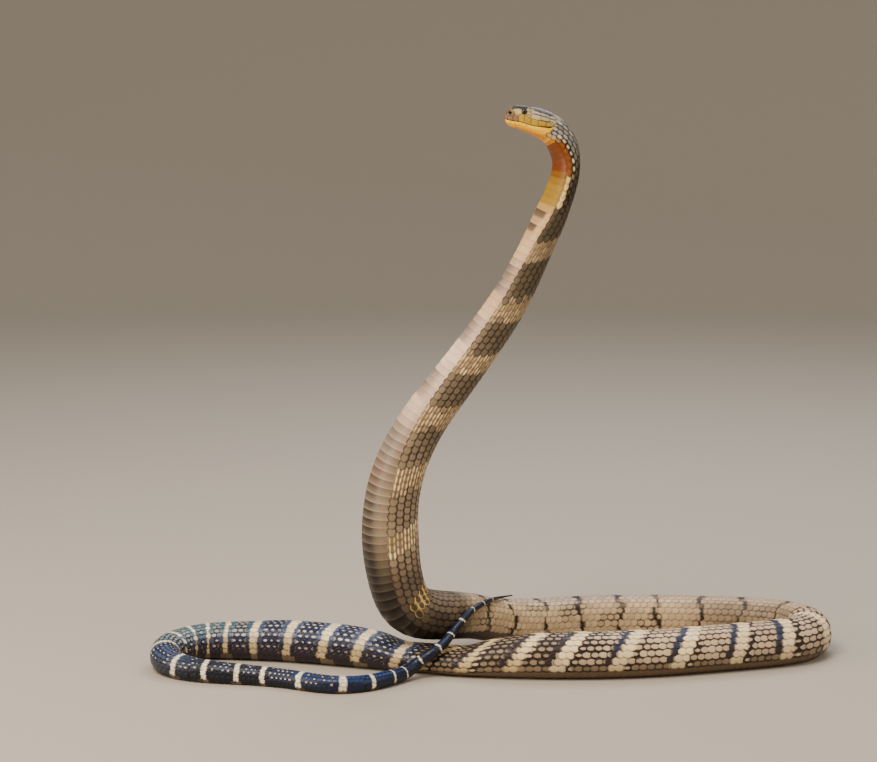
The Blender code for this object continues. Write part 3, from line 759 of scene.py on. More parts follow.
def add_node(tree: bpy.types.NodeTree, kind: str, settings: dict | None = None,
             inputs: dict | None = None) -> bpy.types.Node:
    """Add a node to a tree with its settings and what feeds its sockets.

    Args:
        tree: the tree it goes in.
        kind: Blender's name for the node.
        settings: properties to set.
        inputs: sockets by name or number, each with an output socket or a value.

    Returns:
        The node.
    """
    node = tree.nodes.new(kind)
    for name, value in (settings or {}).items():
        setattr(node, name, value)
    for key, value in (inputs or {}).items():
        if isinstance(value, bpy.types.NodeSocket):
            tree.links.new(value, node.inputs[key])
        else:
            node.inputs[key].default_value = value
    return node


def new_material(name: str, settings: dict) -> tuple[bpy.types.Material, bpy.types.Node]:
    """Material whose shader has the given settings.

    Args:
        name: the material's name.
        settings: values for the shader's inputs, by name.

    Returns:
        The material and its shader.
    """
    material = bpy.data.materials.new(name)
    material.use_nodes = True
    shader = material.node_tree.nodes["Principled BSDF"]
    for socket, value in settings.items():
        shader.inputs[socket].default_value = value
    return material, shader


@dataclass(frozen=True)
class Keratin:
    """Smooth horn of scales and shields: satin, with faint grain along it and soft mottling.

    It gives the eye a low, broad sheen that follows each plate's curve, never a hard wet shine.
    """

    name: str
    rough_low: float = 0.36
    rough_high: float = 0.54
    grain_mm: float = 0.35
    grain_deep: float = 0.00004
    mottle_mm: float = 2.6
    mottle: float = 0.20
    specular: float = 0.32
    spotted: bool = False
    # tinted middle of a spotted plate: its place, set back so the plate's front takes the rim tone as painted
    # shadow under the plate ahead, its stretch and squareness, the width of its streaks, and how fine and how
    # deep its ragged edge is
    front_shade_shift: tuple = (-0.07, 0.0, 0.0)
    stretch: tuple = (2.0, 1.14, 0.0)
    squareness: float = 1.75
    streak_tight: float = 3.8
    ragged_mm: float = 1.8
    ragged: float = 0.24

    def colour(self, tree: bpy.types.NodeTree) -> bpy.types.NodeSocket:
        """Base colour: each plate's tint, turning to its rim tone at the edge.

        Args:
            tree: the material's tree.

        Returns:
            The colour socket.
        """
        names = ("tint", "rim_tint", "plate", "look") if self.spotted else ("tint",)
        read = {
            name: add_node(tree, "ShaderNodeAttribute", {"attribute_name": name}).outputs
            for name in names
        }
        if not self.spotted:
            return read["tint"]["Color"]
        off = read["plate"]["Vector"]
        steps = [("ADD", {1: self.front_shade_shift}), ("MULTIPLY", {1: self.stretch}), ("ABSOLUTE", {})]
        for operation, second in steps:
            node = add_node(tree, "ShaderNodeVectorMath", {"operation": operation}, {0: off, **second})
            off = node.outputs[0]
        x, y, _ = add_node(tree, "ShaderNodeSeparateXYZ", None, {0: off}).outputs
        spot, streak, soft = add_node(
            tree, "ShaderNodeSeparateXYZ", None, {0: read["look"]["Vector"]},
        ).outputs
        place = add_node(tree, "ShaderNodeTexCoord").outputs["Object"]
        grit = add_node(
            tree, "ShaderNodeTexNoise", None,
            {"Vector": place, "Scale": PER_METRE / self.ragged_mm, "Detail": 2.0},
        ).outputs["Fac"]
        found = {"x": x, "y": y, "spot": spot, "soft": soft, "grit": grit}
        for name, operation, *feeds in (
            ("along", "POWER", "x", self.squareness),
            ("across", "POWER", "y", self.squareness),
            ("both", "ADD", "along", "across"),
            ("middle", "POWER", "both", 1.0 / self.squareness),
            ("paired", "MULTIPLY_ADD", "y", self.streak_tight, -self.streak_tight / 2.0),
            ("beside", "ABSOLUTE", "paired"),
            ("strip", "ADD", "beside", "along"),
            ("wander", "MULTIPLY_ADD", "grit", self.ragged, -self.ragged / 2.0),
            ("low", "SUBTRACT", "spot", "soft"),
            ("high", "ADD", "spot", "soft"),
        ):
            inputs = {slot: found.get(feed, feed) for slot, feed in enumerate(feeds)}
            found[name] = add_node(tree, "ShaderNodeMath", {"operation": operation}, inputs).outputs[0]
        reach = add_node(
            tree, "ShaderNodeMix", {"data_type": "FLOAT"},
            {0: streak, 2: found["middle"], 3: found["strip"]},
        ).outputs[0]
        edge = add_node(tree, "ShaderNodeMath", {"operation": "ADD"}, {0: reach, 1: found["wander"]})
        share = add_node(
            tree, "ShaderNodeMapRange", {"interpolation_type": "SMOOTHSTEP"},
            {"Value": edge.outputs[0], "From Min": found["low"], "From Max": found["high"]},
        ).outputs["Result"]
        return add_node(
            tree, "ShaderNodeMix", {"data_type": "RGBA"},
            {0: share, 6: read["tint"]["Color"], 7: read["rim_tint"]["Color"]},
        ).outputs[2]

    def make(self) -> bpy.types.Material:
        """Build the material."""
        material, shader = new_material(self.name, {"IOR": 1.5, "Specular IOR Level": self.specular})
        tree = material.node_tree
        place = add_node(tree, "ShaderNodeTexCoord").outputs["Object"]
        mottle, grain = (
            add_node(
                tree, "ShaderNodeTexNoise", None,
                {"Vector": place, "Scale": PER_METRE / size, "Detail": detail, "Roughness": rough},
            ).outputs["Fac"]
            for size, detail, rough in ((self.mottle_mm, 4.0, 0.6), (self.grain_mm, 3.0, 0.55))
        )
        bright, gloss = (
            add_node(
                tree, "ShaderNodeMapRange", None,
                {"Value": mottle, "From Min": low, "From Max": high, "To Min": least, "To Max": most},
            ).outputs["Result"]
            for low, high, least, most in (
                (0.25, 0.75, 1.0 - self.mottle / 2.0, 1.0 + self.mottle / 2.0),
                (0.3, 0.7, self.rough_low, self.rough_high),
            )
        )
        toned = add_node(
            tree, "ShaderNodeVectorMath", {"operation": "SCALE"},
            {0: self.colour(tree), "Scale": bright},
        )
        bump = add_node(
            tree, "ShaderNodeBump", None,
            {"Height": grain, "Distance": self.grain_deep, "Strength": 0.6},
        )
        ends = {"Base Color": toned.outputs[0], "Roughness": gloss, "Normal": bump.outputs["Normal"]}
        for socket, source in ends.items():
            tree.links.new(source, shader.inputs[socket])
        return material


@dataclass(frozen=True)
class Spectacle:
    """Clear scale over the eye: the wet, dark gloss of a snake's eye with a dim bronze ring."""

    name: str = "clear_spectacle"
    # distance off the eye's axis, as a share of its radius, and tone: pupil, ring, iris, edge
    rings: tuple = (
        (0.0, "#040303"), (0.38, "#050403"), (0.44, "#4a3416"), (0.50, "#2b1e0e"), (0.62, "#181009"),
        (0.8, "#0a0705"),
    )

    def make(self) -> bpy.types.Material:
        """Build the material."""
        material, shader = new_material(
            self.name, {"Roughness": 0.10, "IOR": 1.376, "Coat Weight": 0.35, "Coat Roughness": 0.12},
        )
        tree = material.node_tree
        off_axis = add_node(tree, "ShaderNodeAttribute", {"attribute_name": "off_axis"})
        ramp = add_node(tree, "ShaderNodeValToRGB", None, {"Fac": off_axis.outputs["Fac"]})
        stops = ramp.color_ramp.elements
        for place, _ in self.rings[1:-1]:
            stops.new(place)
        for stop, (place, colour) in zip(stops, self.rings):
            stop.position = place
            stop.color = (*linear(colour), 1.0)
        tree.links.new(ramp.outputs["Color"], shader.inputs["Base Color"])
        return material


@dataclass(frozen=True)
class MattPaper:
    """Matt backdrop paper: it gives the eye an even, pale ground with soft shadows and no shine."""

    name: str = "matt_paper_floor"
    colour: str = "#b2aa9e"
    rough: float = 0.9

    def make(self) -> bpy.types.Material:
        """Build the material."""
        settings = {"Base Color": (*linear(self.colour), 1.0), "Roughness": self.rough}
        return new_material(self.name, settings)[0]


def store(mesh: bpy.types.Mesh, name: str, kind: str, values: np.ndarray, domain: str = "POINT") -> None:
    """Store an attribute on a mesh.

    Args:
        mesh: the mesh.
        name: attribute name.
        kind: Blender's data type.
        values: one row for each element.
        domain: Blender's domain.
    """
    layer = mesh.attributes.new(name, kind, domain)
    key = {"FLOAT": "value", "FLOAT_VECTOR": "vector", "FLOAT_COLOR": "color", "FLOAT2": "vector"}[kind]
    if kind == "FLOAT_COLOR":
        values = np.concatenate([values, np.ones((len(values), 1))], axis=1)
    layer.data.foreach_set(key, np.ascontiguousarray(values, np.float32).ravel())


def make_mesh(name: str, points: np.ndarray, faces: list) -> bpy.types.Mesh:
    """Smooth-shaded mesh from points and faces.

    Args:
        name: its name.
        points: its points, in any grid.
        faces: point numbers of each face.

    Returns:
        The mesh.
    """
    mesh = bpy.data.meshes.new(name)
    mesh.from_pydata(points.reshape(-1, 3).tolist(), [], faces)
    mesh.shade_smooth()
    return mesh


def put(name: str, data: bpy.types.ID) -> bpy.types.Object:
    """Put data in the scene as an object of that name.

    Args:
        name: the object's name.
        data: its mesh, lamp or camera.

    Returns:
        The object.
    """
    placed = bpy.data.objects.new(name, data)
    bpy.context.scene.collection.objects.link(placed)
    return placed


def add_piece(mesh: bpy.types.Mesh, replaced: list[str]) -> bpy.types.Object:
    """Put a mesh in the scene as a piece of the snake.

    Args:
        mesh: its mesh, whose name the piece takes.
        replaced: nodes of the frame that it stands for.

    Returns:
        The object.
    """
    piece = put(mesh.name, mesh)
    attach(piece, BODY)
    if replaced:
        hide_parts(*replaced)
    LOG.info("%s: %d faces", piece.name, len(mesh.polygons))
    return piece


def tube_faces(rows: int, columns: int) -> list:
    """Quads of a grid that closes on itself round its columns.

    Args:
        rows: rings of the grid.
        columns: points of each ring.

    Returns:
        Four point numbers for each quad.
    """
    faces = []
    for i in range(rows - 1):
        near, far = i * columns, (i + 1) * columns
        for j in range(columns):
            after = (j + 1) % columns
            faces.append((near + j, near + after, far + after, far + j))
    return faces


def tube_unwrap(mesh: bpy.types.Mesh, rows: int, columns: int) -> None:
    """Store the bake map of a tube: its quads on a grid, and its end faces in a corner.

    Args:
        mesh: the tube.
        rows: its rings.
        columns: points of each ring.
    """
    corners = np.zeros((len(mesh.loops), 2))
    i, j = np.divmod(np.arange((rows - 1) * columns), columns)
    around = np.stack([j, j + 1, j + 1, j], axis=1) / columns
    along = np.stack([i, i, i + 1, i + 1], axis=1) / (rows - 1)
    corners[:4 * len(i)] = np.stack([around.ravel(), along.ravel()], axis=1) * 0.98 + 0.01
    store(mesh, "OFBake", "FLOAT2", corners, "CORNER")


@dataclass
class UnderSkin:
    """The one skin of neck, body and tail, seen only between the scales."""

    body: Body
    markings: Markings
    start: float = 0.070
    columns: int = 64
    ring_step: float = 0.0026
    sink: float = 0.00035
    tuck: float = 0.0008
    tuck_length: float = 0.008
    sink_ends: tuple = (2.990, 3.040)

    def build(self, nodes: list[str]) -> bpy.types.Object:
        """Build the skin.

        Args:
            nodes: frame nodes that it stands for.

        Returns:
            The piece.
        """
        rows = round((self.body.length - self.start) / self.ring_step)
        s = np.linspace(self.start, self.body.length, rows)
        turn = -math.pi / 2.0 + 2.0 * math.pi * np.arange(self.columns) / self.columns
        lift = -self.sink - self.tuck * (1.0 - ease(s, self.start, self.start + self.tuck_length))
        lift = lift * (1.0 - ease(s, *self.sink_ends))
        points = self.body.surface(s[:, None], turn[None, :], lift[:, None])
        resting = s > FLOOR_FROM
        points[resting, :, 2] = np.maximum(points[resting, :, 2], 0.0)
        faces = tube_faces(rows, self.columns)
        faces.append(tuple(range(self.columns))[::-1])
        faces.append(tuple((rows - 1) * self.columns + k for k in range(self.columns)))
        mesh = make_mesh("body_skin", points, faces)
        off_belly = np.degrees(np.minimum(turn + math.pi / 2.0, 1.5 * math.pi - turn))
        tints = self.markings.between(*np.meshgrid(PER_METRE * s, off_belly, indexing="ij"))
        store(mesh, "tint", "FLOAT_COLOR", tints.reshape(-1, 3))
        tube_unwrap(mesh, rows, self.columns)
        mesh.materials.append(Keratin("skin_between_scales", 0.55, 0.7, 0.25, 0.00006).make())
        return add_piece(mesh, nodes)


class Pitch:
    """Spacing of the scale ranks along the body, one rank for each belly scute."""

    places = (0.060, 0.110, 0.200, 2.000, 2.200, 2.400, 2.500, 2.650, 2.900, 3.000, 3.105)
    spacings = (0.0076, 0.0092, 0.0104, 0.0104, 0.0096, 0.0088, 0.0078, 0.0066, 0.0056, 0.0046, 0.0036)
    first = 0.066

    def __init__(self, body: Body) -> None:
        """Count the ranks from the nape to the tip.

        Args:
            body: the form that they lie on.
        """
        self.at = np.linspace(self.first, body.length, 4000)
        density = 1.0 / np.interp(self.at, self.places, self.spacings)
        steps = 0.5 * (density[1:] + density[:-1]) * np.diff(self.at)
        self.rank = np.concatenate([[0.0], np.cumsum(steps)])

    def spacing(self, s: np.ndarray) -> np.ndarray:
        """Spacing of the ranks at distances s."""
        return np.interp(s, self.places, self.spacings)

    def relief(self, s: np.ndarray, start: float) -> np.ndarray:
        """How high plates stand at distances s, less beside the head and toward the tail's tip."""
        return np.interp(s, (start, 0.12, 2.4, 2.7, 3.05), (0.7, 1.0, 1.0, 0.7, 0.35))

    def place(self, rank: np.ndarray) -> np.ndarray:
        """Distance from the snout of whole and half ranks."""
        return np.interp(rank, self.rank, self.at)


@dataclass
class PlateShape:
    """One back scale: a rounded lozenge, sunk in front, raised behind, with a rolled edge."""

    segments: int = 14
    squareness: float = 1.62
    top: float = 0.26
    rings: tuple = ((0.45, 0.23), (0.80, 0.14), (1.00, -0.12))
    rim_drop: float = 1.5

    def build(self) -> bpy.types.Object:
        """Build the pattern plate that the node tree copies."""
        angle = 2.0 * math.pi * np.arange(self.segments) / self.segments
        power = 2.0 / self.squareness
        x = 0.5 * np.sign(np.cos(angle)) * np.abs(np.cos(angle)) ** power
        y = np.sign(np.sin(angle)) * np.abs(np.sin(angle)) ** power
        points = [(0.0, 0.0, 0.5 + self.top)]
        for share, dome in self.rings:
            for px, py in zip(x * share, y * share):
                points.append((px, py, 0.5 + px + dome))
        for px, py in zip(x, y):
            points.append((px, py, 0.5 + px - self.rim_drop))
        around = range(self.segments)
        rings = [[1 + r * self.segments + k for k in around] for r in range(len(self.rings) + 1)]
        faces = [(0, rings[0][k], rings[0][(k + 1) % self.segments]) for k in around]
        for inner, outer in zip(rings, rings[1:]):
            for k in around:
                after = (k + 1) % self.segments
                faces.append((inner[k], outer[k], outer[after], inner[after]))
        faces.append(tuple(rings[-1][::-1]))
        mesh = make_mesh("pattern_plate", np.array(points), faces)
        store(mesh, "plate", "FLOAT_VECTOR", np.array(points))
        return put("pattern_plate", mesh)


class WrapTree:
    """Node tree that sets a plate on every point and bends it to the skin there."""

    sockets = [
        ("Seats", "NodeSocketGeometry"), ("Plate", "NodeSocketObject"), ("Overlap", "NodeSocketFloat"),
        ("Cover", "NodeSocketFloat"), ("Rise", "NodeSocketFloat"), ("Patch", "NodeSocketFloat"),
        ("Finish", "NodeSocketMaterial"),
    ]

    def __init__(self) -> None:
        """Build the tree and keep the identifiers of its inputs."""
        tree = self.tree = bpy.data.node_groups.new("wrapped_plates", "GeometryNodeTree")
        self.keys = {}
        for name, kind in self.sockets:
            socket = tree.interface.new_socket(name, in_out="INPUT", socket_type=kind)
            self.keys[name] = socket.identifier
        tree.interface.new_socket("Plates", in_out="OUTPUT", socket_type="NodeSocketGeometry")
        given = add_node(tree, "NodeGroupInput").outputs
        plate = add_node(tree, "GeometryNodeObjectInfo", None, {"Object": given["Plate"]})
        copies = add_node(
            tree, "GeometryNodeInstanceOnPoints", None,
            {"Points": given["Seats"], "Instance": plate.outputs["Geometry"]},
        )
        real = add_node(tree, "GeometryNodeRealizeInstances", None, {"Geometry": copies.outputs[0]})
        # vectors: what the seats and the pattern plate carry, and what is worked out from them
        found = {
            name: add_node(
                tree, "GeometryNodeInputNamedAttribute", {"data_type": "FLOAT_VECTOR"}, {"Name": name},
            ).outputs["Attribute"]
            for name in ("plate", "size", "bend", "unwrap", "along", "across", "outward")
        }
        found["position"] = add_node(tree, "GeometryNodeInputPosition").outputs[0]
        found["factors"] = add_node(
            tree, "ShaderNodeCombineXYZ", None,
            {"X": given["Overlap"], "Y": given["Cover"], "Z": given["Rise"]},
        ).outputs[0]
        for name, operation, first, second in (
            ("seat", "SUBTRACT", "position", "plate"),
            ("full", "MULTIPLY", "plate", "size"),
            ("sized", "MULTIPLY", "full", "factors"),
            ("square", "MULTIPLY", "sized", "sized"),
            ("sag", "DOT_PRODUCT", "square", "bend"),
        ):
            feeds = {0: found[first], 1: found[second]}
            node = add_node(tree, "ShaderNodeVectorMath", {"operation": operation}, feeds)
            found[name] = node.outputs["Value" if operation == "DOT_PRODUCT" else "Vector"]
        parts = add_node(tree, "ShaderNodeSeparateXYZ", None, {0: found["sized"]}).outputs
        height = add_node(
            tree, "ShaderNodeMath", {"operation": "SUBTRACT"}, {0: parts["Z"], 1: found["sag"]},
        ).outputs[0]
        # each sum starts from a vector and takes steps along others
        sums = {
            "moved": ("seat", [("along", parts["X"]), ("across", parts["Y"]), ("outward", height)]),
            "mapped": ("unwrap", [("plate", given["Patch"])]),
        }
        for name, (start, steps) in sums.items():
            total = found[start]
            for way, amount in steps:
                step = add_node(
                    tree, "ShaderNodeVectorMath", {"operation": "SCALE"}, {0: found[way], "Scale": amount},
                )
                feeds = {0: total, 1: step.outputs[0]}
                total = add_node(tree, "ShaderNodeVectorMath", {"operation": "ADD"}, feeds).outputs[0]
            found[name] = total
        placed = add_node(
            tree, "GeometryNodeSetPosition", None,
            {"Geometry": real.outputs[0], "Position": found["moved"]},
        )
        baked = add_node(
            tree, "GeometryNodeStoreNamedAttribute", {"data_type": "FLOAT2", "domain": "CORNER"},
            {"Geometry": placed.outputs[0], "Name": "OFBake", "Value": found["mapped"]},
        )
        dressed = add_node(
            tree, "GeometryNodeSetMaterial", None,
            {"Geometry": baked.outputs[0], "Material": given["Finish"]},
        )
        add_node(tree, "NodeGroupOutput", None, {0: dressed.outputs[0]})


@dataclass
class Seats:
    """Where the plates of one piece go: one row of numbers for each."""

    s: np.ndarray
    turn: np.ndarray
    half_width: np.ndarray
    back: np.ndarray


@dataclass
class BackScales:
    """Overlapping back scales in slanting rows, from the nape to the tail tip."""

    body: Body
    pitch: Pitch
    markings: Markings
    row_counts: tuple = (
        (0.000, 17), (0.160, 15), (2.400, 13), (2.510, 11), (2.620, 9), (2.750, 7), (2.880, 5),
    )
    ends: float = 3.045
    outer_wider: float = 0.20
    spine_wider: float = 0.10
    overlap: float = 1.52
    cover: float = 1.26
    rise: float = 0.00055
    patch: float = 0.006

    def seats(self) -> Seats:
        """Work out the seat of every scale."""
        found = []
        ranks = np.arange(0.0, self.pitch.rank[-1], 0.5)
        for number, rank in enumerate(ranks):
            s = float(self.pitch.place(rank))
            if s > self.ends:
                break
            count = [rows for start, rows in self.row_counts if s >= start][-1]
            middle = count // 2
            rows = np.arange(count)
            off = np.abs(rows - middle) / max(middle, 1)
            wide = 1.0 + self.outer_wider * off ** 2 + self.spine_wider * (off == 0)
            edges = np.concatenate([[0.0], np.cumsum(wide)]) / np.sum(wide)
            low = -math.pi / 2.0 + float(self.body.half_arc(s))
            high = math.pi - low
            turns = self.body.spread(s, 0.5 * (edges[1:] + edges[:-1]), low, high)
            edge_turns = self.body.spread(s, edges, low, high)
            girth = self.body.surface(np.full(count + 1, s), edge_turns)
            width = np.linalg.norm(np.diff(girth, axis=0), axis=1)
            kept = (rows - middle) % 2 == number % 2
            for row in rows[kept]:
                found.append((s, turns[row], 0.5 * width[row], off[row]))
        table = np.array(found)
        return Seats(table[:, 0], table[:, 1], table[:, 2], table[:, 3])

    def carrier(self, name: str, seats: Seats, chosen: np.ndarray, span: tuple) -> bpy.types.Object:
        """Points that carry the plates of one piece.

        Args:
            name: name for the mesh.
            seats: all seats.
            chosen: which of them belong to the piece.
            span: first and last distance of the piece, for its bake map.

        Returns:
            The object with the points.
        """
        s, turn = seats.s[chosen], seats.turn[chosen]
        centre = self.body.surface(s, turn)
        outward = self.body.outward(s, turn)
        spacing = self.pitch.spacing(s)
        ahead = self.body.surface(s + spacing / 2.0, turn)
        behind = self.body.surface(s - spacing / 2.0, turn)
        along = unit(ahead - behind)
        across = unit(np.cross(outward, along))
        step = math.radians(6.0)
        right, left = self.body.surface(s, turn + step), self.body.surface(s, turn - step)
        reach_along = np.linalg.norm(ahead - behind, axis=1) / 2.0
        reach_across = np.linalg.norm(right - left, axis=1) / 2.0
        bend_along = -np.sum((ahead + behind - 2.0 * centre) * outward, axis=1) / 2.0 / reach_along ** 2
        bend_across = -np.sum((right + left - 2.0 * centre) * outward, axis=1) / 2.0 / reach_across ** 2
        share = (s - span[0]) / (span[1] - span[0])
        round_share = (turn + math.pi / 2.0) / (2.0 * math.pi)
        number = np.flatnonzero(chosen).astype(float)
        none = np.zeros(len(s))
        columns = {
            "size": (2.0 * reach_along, seats.half_width[chosen], self.pitch.relief(s, 0.06)),
            "bend": (bend_along, bend_across, none),
            "unwrap": (0.02 + 0.96 * share, round_share, none),
            "seat": (PER_METRE * s, 2.0 * PER_METRE * reach_along, number),
        }
        mesh = bpy.data.meshes.new(name)
        mesh.from_pydata(centre.tolist(), [], [])
        for label, values in (("along", along), ("across", across), ("outward", outward)):
            store(mesh, label, "FLOAT_VECTOR", values)
        for label, values in columns.items():
            store(mesh, label, "FLOAT_VECTOR", np.stack(values, axis=1))
        return put(name, mesh)

    def build(self, pieces: list) -> None:
        """Build the scales.

        Args:
            pieces: name, slot, first and last distance of each piece.
        """
        seats = self.seats()
        draw = np.random.default_rng(SEED).random((len(seats.s), 4))
        pattern = PlateShape().build()
        wrap = WrapTree()
        satin = Keratin("scale_keratin", spotted=True).make()
        glossy = Keratin("tail_keratin", 0.27, 0.40, specular=0.34, spotted=True).make()
        for name, slot, start, end in pieces:
            finish = glossy if slot == "tail_skin" else satin
            chosen = (seats.s >= start) & (seats.s < end)
            carrier = self.carrier(name + "_seats", seats, chosen, (start, end))
            modifier = carrier.modifiers.new("plates", "NODES")
            modifier.node_group = wrap.tree
            values = {"Plate": pattern, "Overlap": self.overlap, "Cover": self.cover, "Rise": self.rise,
                      "Patch": self.patch, "Finish": finish}
            for socket, value in values.items():
                modifier[wrap.keys[socket]] = value
            graph = bpy.context.evaluated_depsgraph_get()
            mesh = bpy.data.meshes.new_from_object(
                carrier.evaluated_get(graph), preserve_all_data_layers=True, depsgraph=graph)
            mesh.name = name
            bpy.data.objects.remove(carrier)
            self.rest_on_floor(mesh)
            self.colour(mesh, seats, draw)
            add_piece(mesh, [])
        bpy.data.objects.remove(pattern)

    def colour(self, mesh: bpy.types.Mesh, seats: Seats, draw: np.ndarray) -> None:
        """Store the colours of the plates, by scale on the raised body and by place on the loops.

        Args:
            mesh: the finished plates.
            seats: all seats.
            draw: the random numbers of every scale.
        """
        found = {}
        for name in ("seat", "plate"):
            values = np.empty(3 * len(mesh.vertices), np.float32)
            mesh.attributes[name].data.foreach_get("vector", values)
            found[name] = values.reshape(-1, 3).astype(float)
        s, length, number = found["seat"].T
        number = np.rint(number).astype(int)
        by_place = 0.85 * ease(s, 850.0, 880.0)
        place = s + by_place * self.overlap * length * found["plate"][:, 0]
        colours = self.markings.dorsal(place, seats.back[number], draw[number])
        store(mesh, "tint", "FLOAT_COLOR", colours.tint)
        store(mesh, "rim_tint", "FLOAT_COLOR", colours.rim)
        store(mesh, "look", "FLOAT_VECTOR", np.stack([colours.spot, colours.streak, colours.soft], axis=1))

    def rest_on_floor(self, mesh: bpy.types.Mesh) -> None:
        """Press whatever would reach under the floor flat on it.

        Args:
            mesh: the finished plates.
        """
        points = np.empty(3 * len(mesh.vertices), np.float32)
        mesh.vertices.foreach_get("co", points)
        points[2::3] = np.maximum(points[2::3], 0.0)
        mesh.vertices.foreach_set("co", points)
        mesh.update()


@dataclass
class BellyScutes:
    """Broad belly plates, each a closed shell raised at its rear edge."""

    body: Body
    pitch: Pitch
    markings: Markings
    first: float = 0.066
    last: float = 3.030
    columns: int = 17
    length: float = 1.16
    rows: tuple = ((0.00, -0.95), (0.00, -0.12), (0.34, 0.08), (0.84, 0.38), (1.00, 0.28), (1.00, -0.95))
    side_drop: float = 0.35
    overhang: float = 1.02
    bow: float = 0.10
    sharp_over: float = math.radians(55.0)

    def build(self, name: str, slot: str, start: float, end: float) -> bpy.types.Object:
        """Build the plates of one stretch.

        Args:
            name: piece name.
            slot: the record's material slot; not used.
            start: first distance from the snout.
            end: last distance.

        Returns:
            The piece.
        """
        front = self.pitch.place(np.arange(0.0, self.pitch.rank[-1], 1.0))
        front = front[(front >= max(start, self.first)) & (front < min(end, self.last))]
        front = front[:, None, None]
        spacing = self.pitch.spacing(front)
        along, rise = np.array(self.rows).T[:, None, :, None]
        across = np.linspace(-1.0, 1.0, self.columns)[None, None, :]
        aside = np.abs(across)
        turn = -math.pi / 2.0 + across * (self.overhang * self.body.half_arc(front))
        s = front + spacing * self.length * (along - self.bow * aside ** 2.5)
        drop = ease(aside, 0.84, 1.0)
        height = rise * (1.0 - 0.7 * drop * (rise > 0.0)) - self.side_drop * drop
        lift = MM * height * self.pitch.relief(front, 0.07)
        s, turn, lift = np.broadcast_arrays(s, turn, lift)
        points = self.body.surface(s, turn, lift)
        points[..., 2] = np.where(s > FLOOR_FROM, np.maximum(points[..., 2], 0.0), points[..., 2])
        count, rows, columns = s.shape
        faces = []
        for plate in range(count):
            base = plate * rows * columns
            for i in range(rows):
                lower, upper = base + i * columns, base + ((i + 1) % rows) * columns
                for j in range(columns - 1):
                    faces.append((lower + j, lower + j + 1, upper + j + 1, upper + j))
            faces.append(tuple(base + i * columns for i in range(rows)))
            faces.append(tuple(base + i * columns + columns - 1 for i in reversed(range(rows))))
        mesh = make_mesh(name, points, faces)
        draw = np.random.default_rng(SEED + 1).random(count)[:, None, None]
        middle = PER_METRE * (front + 0.5 * spacing)
        colours = self.markings.ventral(*np.broadcast_arrays(middle, aside, along, draw))
        colours = colours * (0.94 + 0.12 * draw)[..., None]
        store(mesh, "tint", "FLOAT_COLOR", colours.reshape(-1, 3))
        rank = (np.arange(count)[:, None, None] + 0.05 + 0.9 * np.arange(rows)[None, :, None] / rows) / count
        patch = np.broadcast_arrays(rank, 0.02 + 0.96 * (across + 1.0) / 2.0)
        patch = np.stack(patch, axis=-1).reshape(-1, 2)
        corner = np.empty(len(mesh.loops), np.int32)
        mesh.loops.foreach_get("vertex_index", corner)
        store(mesh, "OFBake", "FLOAT2", patch[corner], "CORNER")
        mesh.set_sharp_from_angle(angle=self.sharp_over)
        mesh.materials.append(Keratin("scute_keratin_" + name, 0.34, 0.50, 0.5, 0.00003, 6.0, 0.14).make())
        return add_piece(mesh, [])


class Row(Enum):
    """Where a head shield lies, which is what its place is measured from."""

    CROWN = "from the crown line, down the side"
    SIDE = "up from the mouth line"
    LIP = "down from the mouth line"
    THROAT = "from the chin line, up the side"


@dataclass(frozen=True)
class Shield:
    """One head shield, in millimetres: its middle, how far it reaches each way, and its tone."""

    row: Row
    back: float
    place: float
    length: float
    width: float
    tint: str


